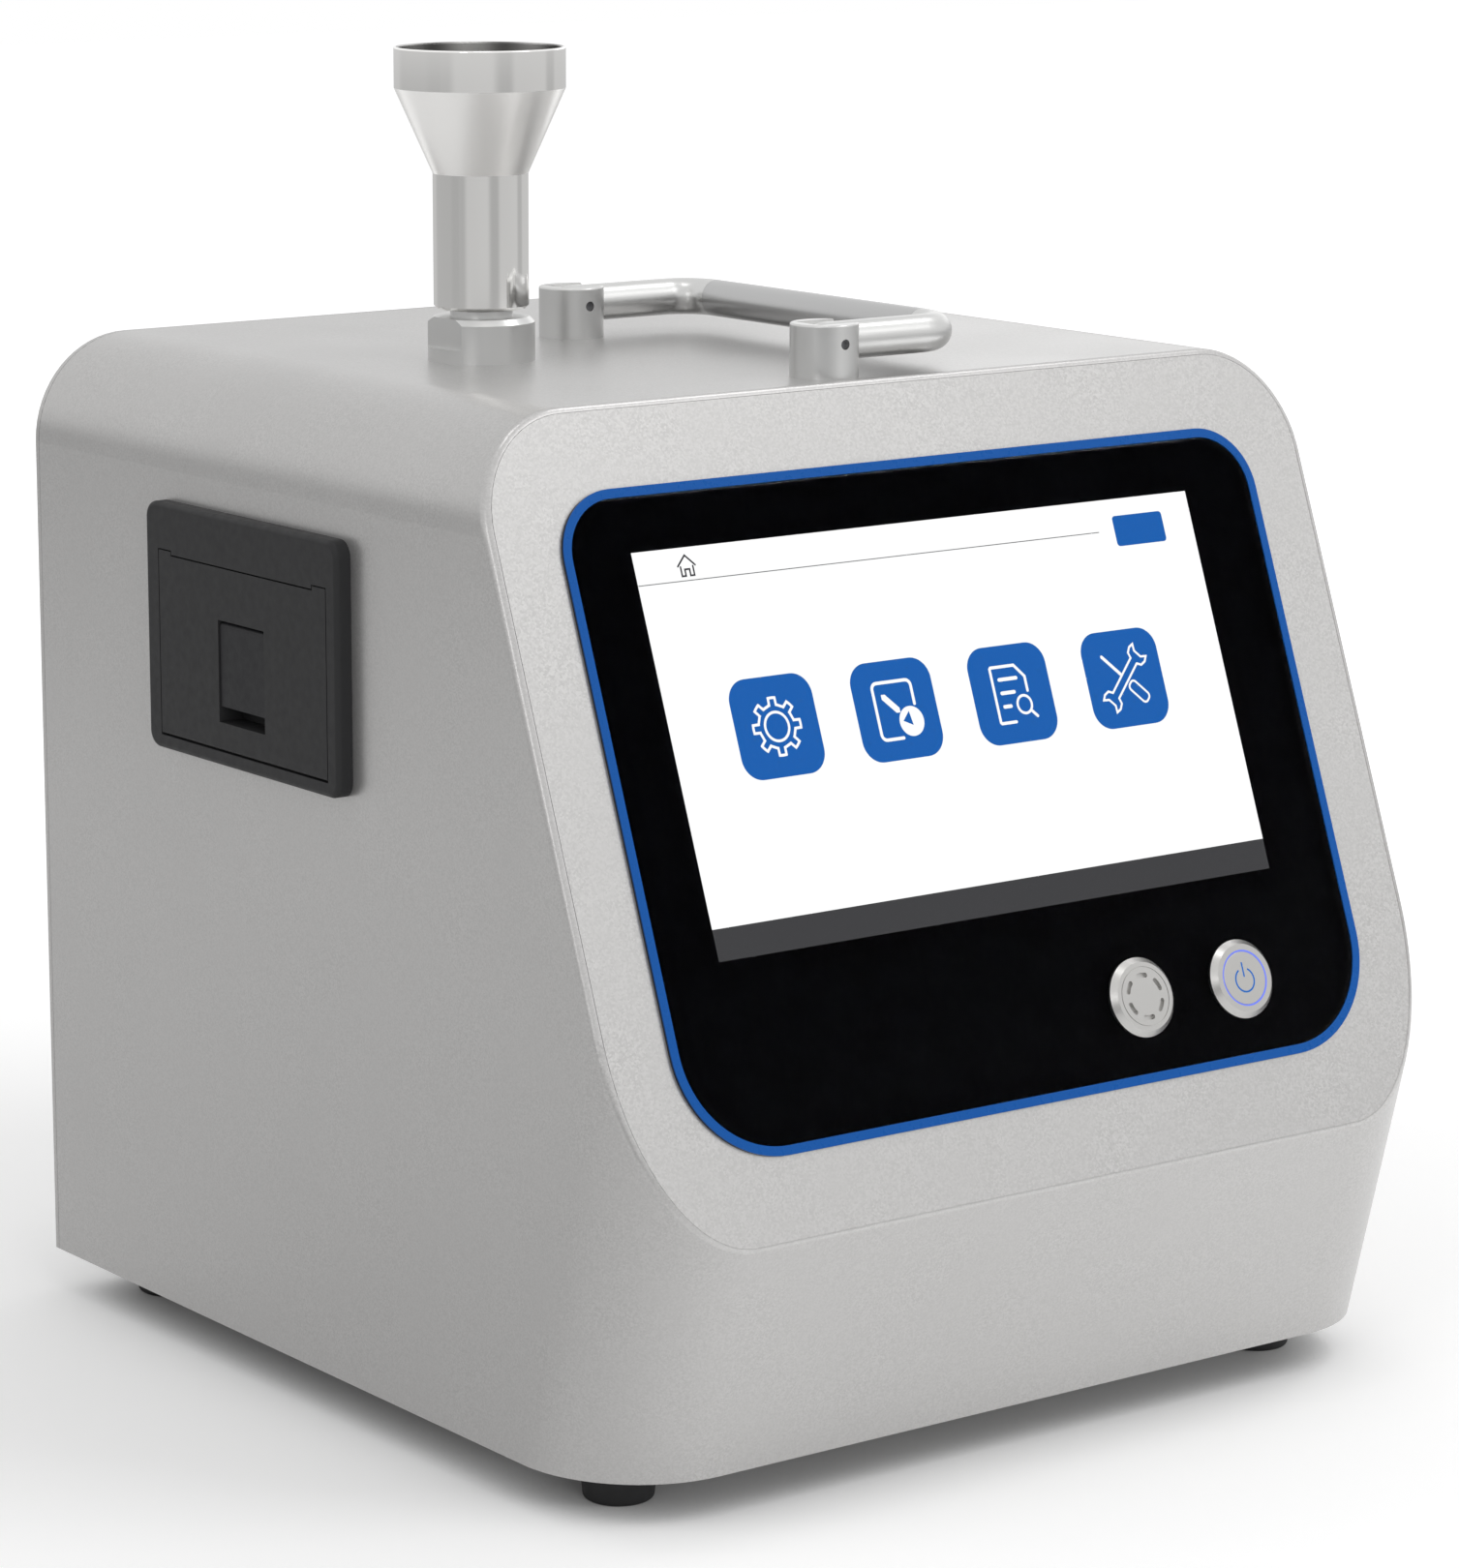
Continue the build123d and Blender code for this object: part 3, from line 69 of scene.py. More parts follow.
def scaled(colour, k):
    """A colour made k times as bright."""
    return tuple(min(1.0, c * k) for c in colour[:3]) + (1.0,)


class Graph:
    """Short helpers for the nodes of one tree."""

    def __init__(self, tree):
        self.tree = tree

    def node(self, kind, **settings):
        n = self.tree.nodes.new(kind)
        for key, value in settings.items():
            if key in n.inputs:
                n.inputs[key].default_value = value
            else:
                setattr(n, key, value)
        return n

    def link(self, a, b):
        self.tree.links.new(a, b)

    def feed(self, socket, v):
        """Set a socket to a number or colour, or link another node's output to it."""
        if isinstance(v, (int, float, tuple)):
            socket.default_value = v
        else:
            self.link(v, socket)

    def math(self, op, a, b=0.5):
        m = self.node("ShaderNodeMath", operation=op)
        self.feed(m.inputs[0], a)
        self.feed(m.inputs[1], b)
        return m.outputs[0]

    def spread(self, fac, low, high, at=(0.3, 0.7), interpolation="LINEAR"):
        """Values from low to high as fac runs over the range at."""
        m = self.node("ShaderNodeMapRange", interpolation_type=interpolation)
        m.inputs["From Min"].default_value = at[0]
        m.inputs["From Max"].default_value = at[1]
        m.inputs["To Min"].default_value = low
        m.inputs["To Max"].default_value = high
        self.link(fac, m.inputs["Value"])
        return m.outputs["Result"]

    def mix(self, fac, a, b):
        """Blend of two colours."""
        m = self.node("ShaderNodeMix", data_type="RGBA")
        self.feed(m.inputs[6], a)
        self.feed(m.inputs[7], b)
        self.link(fac, m.inputs[0])
        return m.outputs[2]

    def blend(self, fac, a, b):
        """Blend of two levels."""
        m = self.node("ShaderNodeMix")
        self.feed(m.inputs["A"], a)
        self.feed(m.inputs["B"], b)
        self.link(fac, m.inputs["Factor"])
        return m.outputs["Result"]


class Shader(Graph):
    """A material with a Principled shader."""

    def __init__(self, name):
        self.material = bpy.data.materials.new(name)
        self.material.use_nodes = True
        super().__init__(self.material.node_tree)
        self.bsdf = self.tree.nodes["Principled BSDF"]
        self.coord = self.node("ShaderNodeTexCoord")

    def value(self, name, v):
        self.bsdf.inputs[name].default_value = v

    def place(self, stretch=(1, 1, 1)):
        m = self.node("ShaderNodeMapping")
        m.inputs["Scale"].default_value = stretch
        self.link(self.coord.outputs["Object"], m.inputs["Vector"])
        return m.outputs["Vector"]

    def noise(self, scale, detail=2.0, stretch=(1, 1, 1)):
        n = self.node("ShaderNodeTexNoise", Scale=scale, Detail=detail)
        self.link(self.place(stretch), n.inputs["Vector"])
        return n.outputs["Fac"]

    def cells(self, scale):
        n = self.node("ShaderNodeTexVoronoi", Scale=scale)
        self.link(self.place(), n.inputs["Vector"])
        return n

    def colour(self, socket):
        self.link(socket, self.bsdf.inputs["Base Color"])

    def roughness(self, socket):
        self.link(socket, self.bsdf.inputs["Roughness"])

    def bump(self, height, distance):
        b = self.node("ShaderNodeBump", Distance=distance)
        self.link(height, b.inputs["Height"])
        self.link(b.outputs["Normal"], self.bsdf.inputs["Normal"])


def coat(name, base, metallic, rough, vary=0.04, sparkle=0.13, grain=1600.0, depth=3.4e-6):
    """Fine metallic powder coat: flakes in the colour, orange peel in the surface."""
    s = Shader(name)
    flakes = s.cells(grain * 1.6).outputs["Color"]
    flake = s.node("ShaderNodeSeparateColor")
    s.link(flakes, flake.inputs[0])
    soft = s.mix(s.noise(14, 3), scaled(base, 1 - vary), scaled(base, 1 + vary))
    bright = s.mix(s.spread(flake.outputs[0], 0, 1, (0.0, 1.0)), scaled(base, 1 - sparkle),
                   scaled(base, 1 + sparkle))
    s.colour(s.mix(s.noise(60, 2), soft, bright))
    s.value("Metallic", metallic)
    s.roughness(s.spread(s.noise(25), rough - 0.02, rough + 0.03))
    s.bump(s.noise(grain, 3), depth)
    return s


def plastic(name, base, rough, grain=1100.0, depth=1.2e-5, vary=0.12):
    """Moulded plastic with a spark-eroded grain."""
    s = Shader(name)
    pits = s.cells(grain).outputs["Distance"]
    s.colour(s.mix(s.noise(35, 4), scaled(base, 1 - vary), scaled(base, 1 + vary)))
    s.roughness(s.spread(s.noise(grain * 0.3, 3), rough - 0.06, rough + 0.06))
    s.bump(s.math("ADD", pits, s.noise(grain * 0.6, 3)), depth)
    return s


def metal(name, base, rough, grain=2200.0, depth=1.5e-6, vary=0.05, stretch=(1, 1, 1)):
    """Bare metal with a fine blasted, turned or brushed surface, set by stretch."""
    s = Shader(name)
    s.colour(s.mix(s.noise(40, 3, stretch), scaled(base, 1 - vary), scaled(base, 1 + vary)))
    s.value("Metallic", 1.0)
    s.roughness(s.spread(s.noise(60, 2, stretch), rough * 0.88, rough * 1.12))
    s.bump(s.noise(grain, 3, stretch), depth)
    return s


def probe_steel(name, base, polish, brushed):
    """Polished tube and band, a cone brushed down its slope, and a mouth bore with painted shade in painted
    reflection streaks.

    A point's distance from the probe's axis and its height say which of them it is on."""
    s = Shader(name)
    place = s.node("ShaderNodeSeparateXYZ")
    s.link(s.coord.outputs["Object"], place.inputs[0])
    east = s.math("SUBTRACT", place.outputs["X"], PROBE_AXIS[0])
    north = s.math("SUBTRACT", place.outputs["Y"], PROBE_AXIS[1])
    squares = s.math("ADD", s.math("MULTIPLY", east, east), s.math("MULTIPLY", north, north))
    reach = s.math("POWER", squares, 0.5)
    above_foot = s.math("GREATER_THAN", place.outputs["Z"], CONE_FOOT)
    above_cone = s.math("GREATER_THAN", place.outputs["Z"], CONE_TOP)
    cone = s.math("SUBTRACT", above_foot, above_cone)
    mouth = s.math("MULTIPLY", above_cone, s.math("LESS_THAN", reach, MOUTH_BORE))
    # painted shade and painted reflection streaks in the mouth bore: its colour is darkened to between about
    # a sixth and a half of the steel's, in streaks round the axis
    bearing = s.math("ARCTAN2", north, east)
    shade = s.spread(s.math("SINE", s.math("MULTIPLY", bearing, MOUTH_SHADE_STREAKS)), 0.06, 0.5, (-1.0, 1.0))
    depth = s.mix(shade, scaled(base, 0.1), base)
    bright = s.mix(s.noise(40, 3, (0.02, 0.02, 1)), scaled(base, 0.99), scaled(base, 1.01))
    s.colour(s.mix(mouth, bright, depth))
    s.value("Metallic", 1.0)
    streaks = s.spread(s.noise(160, 2, (1, 1, 0.02)), brushed, brushed + 0.03)
    soft = s.math("MULTIPLY", s.math("MAXIMUM", cone, mouth), s.math("SUBTRACT", streaks, polish))
    s.roughness(s.math("ADD", soft, polish))
    s.bump(s.noise(1800, 3, (0.02, 0.02, 1)), 2e-7)
    return s


def lit(name, base, strength, vary=0.012):
    """A lit display colour under fine pixel rows."""
    s = Shader(name)
    tone = s.mix(s.noise(5000, 1), scaled(base, 1 - vary), scaled(base, 1 + vary))
    s.value("Base Color", (0.0, 0.0, 0.0, 1.0))
    s.value("Roughness", 0.5)
    s.value("Specular IOR Level", 0.0)
    s.link(tone, s.bsdf.inputs["Emission Color"])
    s.value("Emission Strength", strength)
    s.material.cycles.emission_sampling = "NONE"
    return s


CLEAR_IOR = 1.03            # low, so that the print behind the glass stays deep black


def clear_glass(name):
    """Clear cover with a faint haze."""
    s = Shader(name)
    s.colour(s.mix(s.noise(30, 2), (0.97, 0.98, 0.98, 1.0), (0.99, 0.99, 0.99, 1.0)))
    s.value("Transmission Weight", 1.0)
    s.value("IOR", CLEAR_IOR)
    s.roughness(s.spread(s.noise(30, 2), 0.28, 0.3))
    return s


def matt(shader, level):
    """The shader with a weaker shine."""
    shader.value("Specular IOR Level", level)
    return shader


case_paint = coat("case_coat", srgb(186, 185, 184), 0.7, 0.31)
front_paint = coat("front_coat", srgb(188, 187, 186), 0.7, 0.32, vary=0.02, sparkle=0.16, grain=1300.0)
ring_blue = matt(plastic("ring_blue", srgb(11, 71, 138), 0.3, grain=1600, depth=1e-6, vary=0.03), 0.15)
carrier_black = matt(plastic("carrier_black", srgb(16, 16, 17), 0.45), 0.3)
printer_shell = matt(plastic("printer_shell", srgb(44, 44, 45), 0.5, grain=1500, depth=6e-6, vary=0.06), 0.2)
printer_dark = matt(plastic("printer_dark", srgb(38, 38, 40), 0.5, grain=1500, depth=6e-6, vary=0.08), 0.2)
rubber = plastic("foot_rubber", srgb(24, 24, 25), 0.62, grain=900, depth=1.5e-5)
polished = probe_steel("polished_steel", srgb(245, 244, 242), 0.06, 0.285)
satin = metal("satin_aluminium", srgb(205, 205, 204), 0.33, grain=2600, depth=4.5e-6, vary=0.04)
sleeve = metal("sleeve_aluminium", srgb(184, 184, 184), 0.32, grain=1500, depth=6e-7, vary=0.03,
               stretch=(1, 0.03, 1))
switch_metal = metal("switch_steel", srgb(196, 195, 193), 0.34, grain=3000, depth=1.6e-6, vary=0.04)
plated = metal("plated_steel", srgb(168, 168, 170), 0.32, grain=1500, depth=1e-6)
dark_steel = metal("dark_steel", srgb(110, 110, 113), 0.35, grain=1500, depth=1e-6)
machined = metal("machined_aluminium", srgb(186, 187, 189), 0.32, grain=1200, depth=2e-6,
                 stretch=(1, 1, 0.05))
brass = metal("brass", srgb(190, 158, 92), 0.24, grain=1200, depth=1e-6)
board = plastic("solder_mask", srgb(20, 88, 52), 0.3, grain=500, depth=4e-6)
paper = plastic("thermal_paper", srgb(236, 235, 230), 0.8, grain=700, depth=4e-6, vary=0.02)
filter_shell = plastic("filter_shell", srgb(222, 222, 217), 0.45, grain=900, depth=4e-6, vary=0.03)
battery_wrap = plastic("battery_wrap", srgb(34, 64, 112), 0.25, grain=200, depth=2e-5)
strap_black = plastic("strap_black", srgb(28, 28, 29), 0.5)
ring_light = lit("ring_light", srgb(125, 142, 255), 1.0)
symbol_light = lit("symbol_light", srgb(40, 110, 196), 1.0)
glass = clear_glass("cover_glass")
print_black = matt(plastic("glass_print", srgb(2, 2, 3), 0.6, grain=900, depth=1e-6), 0.0)
screen_white = lit("screen_white", srgb(255, 255, 255), 1.05)
screen_line = lit("screen_line", srgb(120, 120, 122), 1.0)
screen_ink = lit("screen_ink", srgb(58, 58, 62), 1.0)
screen_blue = lit("screen_blue", srgb(34, 98, 178), 1.0)
screen_bar = lit("screen_bar", srgb(68, 68, 70), 1.0)

NODE_MATERIALS = {
    case_paint: ("case_shell", "rear_panel", "base_plate"),
    front_paint: ("front_panel",),
    ring_blue: ("trim_ring",),
    glass: ("cover_glass",),
    carrier_black: ("display_carrier", "fan_frame", "fan_rotor", "power_inlet", "lcd_module"),
    printer_shell: ("printer_bezel", "printer_door"),
    printer_dark: ("printer_latch", "printer_tub"),
    rubber: ("foot_front_left", "foot_front_right", "foot_back_left", "foot_back_right",
             "platen_roller", "pump_mounts", "inlet_hose", "pump_hose"),
    polished: ("inlet_probe",),
    satin: ("inlet_fitting", "inlet_nut", "handle_post_front", "handle_post_rear", "handle_bar",
            "exhaust_cap"),
    sleeve: ("handle_grip",),
    switch_metal: ("buzzer", "power_switch_body", "power_button"),
    plated: ("rear_screws", "base_screws", "fan_screws", "foot_screws", "foot_nuts", "post_screws",
             "latch_pin", "platen_shaft", "switch_nuts", "lan_socket", "usb_socket"),
    dark_steel: ("handle_pins", "pump_motor"),
    machined: ("sensor_block", "light_detector", "pump_body", "print_head", "power_supply"),
    brass: ("board_spacers", "laser_module"),
    board: ("main_board",),
    paper: ("paper_roll",),
    filter_shell: ("exhaust_filter",),
    battery_wrap: ("battery_pack",),
    strap_black: ("battery_strap",),
    ring_light: ("power_light_ring",),
}


def dress(obj, shader):
    """One material on every slot of an object."""
    if not obj.material_slots:
        obj.data.materials.append(shader.material)
    for place in obj.material_slots:
        place.material = shader.material


for shader, names in NODE_MATERIALS.items():
    for name in names:
        dress(frame["nodes"][name], shader)


# ---------------------------------------------------------------- flat pieces on the panel
def on_panel(u, v, n):
    """Panel millimetres (right, down, out) as a point of the model in metres."""
    return (SCREEN_TOP + PANEL_RIGHT * u + PANEL_DOWN * v + PANEL_OUT * n) * MM


def arc(cx, cy, r, a0, a1, steps):
    """Points on an arc, angles in degrees, 0 to the right and 90 up the screen."""
    out = []
    for i in range(steps + 1):
        a = math.radians(a0 + (a1 - a0) * i / steps)
        out.append((cx + r * math.cos(a), cy - r * math.sin(a)))
    return out


def circle(cx, cy, r, steps=48):
    """Points once round a circle."""
    return arc(cx, cy, r, 0, 360, steps)[:-1]


def rounded(cx, cy, w, h, r, steps=8):
    """Rounded rectangle about its middle."""
    x, y = w / 2 - r, h / 2 - r
    return (arc(cx + x, cy - y, r, 0, 90, steps) + arc(cx - x, cy - y, r, 90, 180, steps)
            + arc(cx - x, cy + y, r, 180, 270, steps) + arc(cx + x, cy + y, r, 270, 360, steps))


def slabs(name, shapes, low, high, shader, body="case", where=on_panel):
    """One mesh of closed flat slabs. Each shape is a list of loops: its outline, then its holes."""
    verts, faces = [], []
    for loops in shapes:
        flat = [p for loop in loops for p in loop]
        start = len(verts)
        count = len(flat)
        verts += [where(u, v, high) for u, v in flat] + [where(u, v, low) for u, v in flat]
        caps = tessellate_polygon([[Vector((u, v, 0)) for u, v in loop] for loop in loops])
        for a, b, c in caps:
            faces.append((start + a, start + b, start + c))
            faces.append((start + count + c, start + count + b, start + count + a))
        first = 0
        for loop in loops:
            for i in range(len(loop)):
                a, b = start + first + i, start + first + (i + 1) % len(loop)
                faces.append((a, b, b + count, a + count))
            first += len(loop)
    mesh = bpy.data.meshes.new(name)
    mesh.from_pydata([tuple(p) for p in verts], [], faces)
    mesh.validate()
    piece = bpy.data.objects.new(name, mesh)
    bpy.context.collection.objects.link(piece)
    bpy.context.view_layer.objects.active = piece
    bm = bmesh.new()
    bm.from_mesh(mesh)
    bmesh.ops.recalc_face_normals(bm, faces=bm.faces)
    bm.to_mesh(mesh)
    bm.free()
    dress(piece, shader)
    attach(piece, body)
    return piece


def stroke(points, width, closed=False, cap=6):
    """Loops of a line of constant width: one outline, or outline and hole when closed."""
    half = width / 2
    n = len(points)
    normals = []
    for i in range(n if closed else n - 1):
        (x0, y0), (x1, y1) = points[i], points[(i + 1) % n]
        length = math.hypot(x1 - x0, y1 - y0)
        normals.append(((y1 - y0) / length, -(x1 - x0) / length))

    def joint(i):
        """Direction and reach of the line's side at point i, held back at sharp turns."""
        if closed:
            a, b = normals[i - 1], normals[i]
        else:
            a, b = normals[max(i - 1, 0)], normals[min(i, n - 2)]
        k = max(1 + a[0] * b[0] + a[1] * b[1], 0.35)
        return ((a[0] + b[0]) / k, (a[1] + b[1]) / k)

    side = [joint(i) for i in range(n)]
    left = [(p[0] + half * s[0], p[1] + half * s[1]) for p, s in zip(points, side)]
    right = [(p[0] - half * s[0], p[1] - half * s[1]) for p, s in zip(points, side)]
    if closed:
        return [left, right[::-1]]

    def end(p, normal, sign):
        """Round end of the line."""
        start = math.atan2(normal[1] * sign, normal[0] * sign)
        angles = [start + math.pi * i / cap for i in range(1, cap)]
        return [(p[0] + half * math.cos(a), p[1] + half * math.sin(a)) for a in angles]

    return [left + end(points[-1], normals[-1], 1) + right[::-1] + end(points[0], normals[0], -1)]


def turned(points, cx, cy, degrees):
    """Points turned about a middle."""
    cos, sin = math.cos(math.radians(degrees)), math.sin(math.radians(degrees))
    return [(cx + (x - cx) * cos - (y - cy) * sin, cy + (x - cx) * sin + (y - cy) * cos)
            for x, y in points]


# the picture on the screen, in panel millimetres
SCREEN_LEFT, SCREEN_RIGHT = -82.7, 80.9
SCREEN_V0, SCREEN_V1, BAR_V = 33.9, 126.5, 119.25
FIRST_LAYER, LAYER, LAYER_GAP = -1.14, 0.022, 0.004


def layer(i):
    """Low and high of the screen's i-th layer, under the glass."""
    low = FIRST_LAYER + i * (LAYER + LAYER_GAP)
    return low, low + LAYER


def box(u0, v0, u1, v1):
    """Corners of a rectangle."""
    return [(u0, v0), (u1, v0), (u1, v1), (u0, v1)]


def piece(name, shapes, i, shader):
    """One piece of the picture, on its i-th layer."""
    low, high = layer(i)
    return slabs(name, shapes, low, high, shader)


piece("screen_image", [[box(SCREEN_LEFT, SCREEN_V0, SCREEN_RIGHT, BAR_V)]], 0, screen_white)
piece("screen_bar", [[box(SCREEN_LEFT, BAR_V, SCREEN_RIGHT, SCREEN_V1)]], 0, screen_bar)
piece("screen_rule", [[box(-82.6, 41.36, 51.7, 41.58)]], 1, screen_line)
piece("screen_button", [[rounded(64.2, 41.67, 15.4, 7.35, 0.9, 5)]], 1, screen_blue)

TILE_V = 76.6
TILE_U = (-53.35, -19.05, 15.25, 49.65)
TILE_SIZE, TILE_RADIUS = (23.3, 23.1), 5.2
piece("screen_tiles", [[rounded(u, TILE_V, *TILE_SIZE, TILE_RADIUS, 12)] for u in TILE_U], 1, screen_blue)

# home sign: roof line over a small house with its door
HOME_U, HOME_V = -68.5, 37.9
FINE_LINE = 0.42
ROOF = ((-2.4, 0.2), (0, -2.2), (2.4, 0.2))
WALLS = ((-1.7, 0.35), (-1.7, 2.5), (-0.65, 2.5), (-0.65, 1.0),
         (0.65, 1.0), (0.65, 2.5), (1.7, 2.5), (1.7, 0.35))
home = [stroke([(HOME_U + u, HOME_V + v) for u, v in line], FINE_LINE) for line in (ROOF, WALLS)]
piece("screen_home", home, 1, screen_ink)

LINE = 0.62                 # of the white signs on the tiles


def gear(cx, cy):
    """Toothed outline and hub ring."""
    teeth, points = 8, []
    for i in range(teeth):
        base = 360 / teeth * i
        points += arc(cx, cy, 5.0, base - 13, base - 11, 1)
        points += arc(cx, cy, 6.6, base - 8, base + 8, 3)
        points += arc(cx, cy, 5.0, base + 11, base + 13, 1)
    hub = [circle(cx, cy, 3.3 + LINE / 2), circle(cx, cy, 3.3 - LINE / 2)]
    return [stroke(points[::-1], LINE, closed=True), hub]


def tablet(cx, cy):
    """Rounded plate, a pointer and a dial at its corner."""
    dial_u, dial_v, dial_r = cx + 3.6, cy + 3.0, 3.5
    plate = (arc(cx + 4.0, cy - 5.2, 1.4, 0, 90, 5) + arc(cx - 4.4, cy - 5.2, 1.4, 90, 180, 5)
             + arc(cx - 4.4, cy + 5.2, 1.4, 180, 270, 5))
    plate = [(cx + 5.4, cy - 0.9)] + plate + [(cx + 0.3, cy + 6.6)]
    shaft = stroke([(cx - 3.1, cy - 3.3), (cx + 0.35, cy + 0.15)], 1.5, cap=2)
    cut = turned([(dial_u + 0.9, dial_v + 0.5), (dial_u - 1.9, dial_v + 1.5), (dial_u - 1.9, dial_v - 1.5)],
                 dial_u, dial_v, 45)
    return [stroke(plate, LINE + 0.15), shaft, [circle(dial_u, dial_v, dial_r), cut]]


def sheet(cx, cy):
    """Sheet with a cut corner, three lines and a lens."""
    edge = [(cx + 4.6, cy - 0.3), (cx + 4.6, cy - 3.7), (cx + 2.0, cy - 6.6), (cx - 4.9, cy - 6.6)]
    edge += [(cx - 5.2, cy - 6.3), (cx - 5.2, cy + 6.3), (cx - 4.9, cy + 6.6), (cx - 0.6, cy + 6.6)]
    lens_u, lens_v = cx + 2.9, cy + 2.8
    shapes = [stroke(edge, LINE + 0.1)]
    for dv, right in ((-3.6, 2.0), (-0.4, 0.6), (2.8, -1.2)):
        shapes.append(stroke([(cx - 3.1, cy + dv), (cx + right, cy + dv)], LINE + 0.25))
    shapes.append([circle(lens_u, lens_v, 2.1 + LINE / 2), circle(lens_u, lens_v, 2.1 - LINE / 2)])
    shapes.append(stroke([(lens_u + 1.85, lens_v + 1.85), (lens_u + 3.1, lens_v + 3.1)], LINE + 0.1))
    return shapes


# jaw of an open spanner at the right end of its shank
JAW = ((5.4, 1.05), (6.0, 2.3), (7.4, 2.7), (8.7, 2.3), (7.6, 1.1),
       (7.6, -1.1), (8.7, -2.3), (7.4, -2.7), (6.0, -2.3), (5.4, -1.05))


def tools(cx, cy):
    """Spanner with two open jaws over a screwdriver."""
    outline = [(cx + x, cy + y) for x, y in JAW] + [(cx - x, cy - y) for x, y in JAW]
    spanner = stroke(turned(outline[::-1], cx, cy, -45), LINE * 0.85, closed=True)
    blade = stroke(turned([(cx - 8.0, cy), (cx - 1.3, cy)], cx, cy, 45), 0.8)
    grip = rounded(cx + 5.0, cy, 6.2, 2.6, 1.0, 4)
    grip = stroke(turned(grip, cx, cy, 45), LINE * 0.8, closed=True)
    return [spanner, blade, grip]


for icon_name, draw, u in zip(("screen_gear", "screen_tablet", "screen_sheet", "screen_tools"),
                              (gear, tablet, sheet, tools), TILE_U):
    piece(icon_name, draw(u, TILE_V), 2, screen_white)

# black print on the back of the glass, open over the screen and round the switch barrels
RIM = 2.3                   # from the edge of the trim ring to the print
PANEL_HALF, PANEL_V0, PANEL_V1 = 101.9 - RIM, 19.4 + RIM, 171.0 - RIM
UPPER, LOWER = 13.2, 23.7
PRINT_LOW, PRINT_HIGH = -1.06, -1.015
BUZZER_U, BUTTON_U, SWITCH_V = 31.4, 62.4, 151.2
BARREL = 8.3
border = (arc(PANEL_HALF - UPPER, PANEL_V0 + UPPER, UPPER, 0, 90, 16)
          + arc(-PANEL_HALF + UPPER, PANEL_V0 + UPPER, UPPER, 90, 180, 16)
          + arc(-PANEL_HALF + LOWER, PANEL_V1 - LOWER, LOWER, 180, 270, 20)
          + arc(PANEL_HALF - LOWER, PANEL_V1 - LOWER, LOWER, 270, 360, 20))
WINDOW_GAP = 0.05
window = box(SCREEN_LEFT - WINDOW_GAP, SCREEN_V0 - WINDOW_GAP, SCREEN_RIGHT + WINDOW_GAP, SCREEN_V1)
openings = [window, circle(BUZZER_U, SWITCH_V, BARREL), circle(BUTTON_U, SWITCH_V, BARREL)]
slabs("glass_print", [[border] + [loop[::-1] for loop in openings]], PRINT_LOW, PRINT_HIGH, print_black)


def height_over_panel(point):
    """Panel millimetres out from the panel's plane, of a point in metres."""
    return (Vector(point) / MM - SCREEN_TOP).dot(PANEL_OUT)


# power sign on the button: an open ring and a bar, standing just out of its face
button = frame["nodes"]["power_button"]
button_face = max(height_over_panel(button.matrix_world @ v.co) for v in button.data.vertices)
SIGN_U = BUTTON_U - 0.1
SIGN_SINK, SIGN_RISE = 0.01, 0.012
sign = [
    stroke(arc(SIGN_U, SWITCH_V + 0.5, 2.8, 122, 418, 30), FINE_LINE),
    stroke([(SIGN_U, SWITCH_V - 3.6), (SIGN_U, SWITCH_V - 0.4)], FINE_LINE),
]
slabs("power_sign", sign, button_face - SIGN_SINK, button_face + SIGN_RISE, symbol_light,
      body="power_button")


# ---------------------------------------------------------------- stage, lamps, camera
FLOOR_HALF = 5.0
FLOOR_GREY = 0.6            # of the light that the floor sends back onto the object
FLOOR_SHADE = (0.45, 0.95)  # painted contact shadow: the floor's colour where it is seen, close under the object and clear of it
SHADE_SPAN = (0.1, 0.4)     # of the openness that those two levels stand for
# reach and rays of the occlusion that places the painted contact shadow
SHADE_REACH, SHADE_RAYS = 0.3, 12
FLOOR_GLOW, FLOOR_FAR = 0.25, 0.5
GLOW_SPAN = (0.2, 1.0)      # from the middle of the floor, for those two levels
GLOSS_LEFT = 0.54           # how much of the floor and its glow a mirror shows on the left
GLOSS_SPAN = (-0.35, 0.05)  # of x, from that level to all of it
AMBIENT = 0.55              # of the world's light on surfaces; it is white where it is seen

# rows of grey flags round the set: their levels by bearing in degrees from +X
FLAGS_HIGH = (
    (0, 0.58), (98, 0.55), (114, 0.46), (156, 0.45), (168, 0.42), (190, 0.44), (203, 0.57), (246, 0.59),
    (261, 0.43), (271, 0.43), (283, 0.57), (330, 0.59), (340, 0.46), (349, 0.46), (358, 0.58),
)
FLAGS_LOW = (
    (0, 0.62), (60, 0.62), (110, 0.66), (150, 0.66), (178, 0.85), (205, 0.55), (218, 0.14), (248, 0.12),
    (262, 0.5), (290, 1.0), (315, 0.66), (345, 0.6),
)
FLAG_RADIUS, FLAG_FOOT, FLAG_HEIGHT, FLAG_SIDES = 1.0, 0.001, 0.38, 64
LOW_TOP, HIGH_FOOT = 0.125, 0.152       # between these heights the lower row turns into the upper one
HIGH_TOP, CROWN_FOOT = 0.235, 0.315     # and between these the upper row into the crown
CROWN_SUM = 1.4             # of the upper row's level and the level of the crown above it

LAMPS = (
    # name, place, aim, width and height, watts, seen in gloss
    ("key", (1.05, -1.45, 1.75), (0, 0, 0.15), (1.0, 1.0), 4, True),
    ("fill", (1.7, -1.9, 0.35), (0, 0, 0.12), (1.4, 0.7), 44, False),
    ("front", (-0.5, -2.3, 0.3), (0, 0, 0.1), (1.0, 0.5), 16, False),
    ("left", (-2.2, 0.9, 1.5), (0, 0, 0.15), (1.4, 1.2), 6, False),
    ("rim", (-1.57, -0.94, 0.85), (0, 0, 0.2), (0.3, 0.4), 1.2, True),
    ("crest", (1.2, -0.1, 2.0), (0, 0, 0.3), (0.5, 0.4), 3, True),
    ("back", (2.4, 1.7, 0.9), (0, 0, 0.2), (1.8, 0.8), 3, True),
    ("top", (-0.1, -0.15, 2.3), (0, 0, 0.3), (0.4, 0.4), 2, True),
)

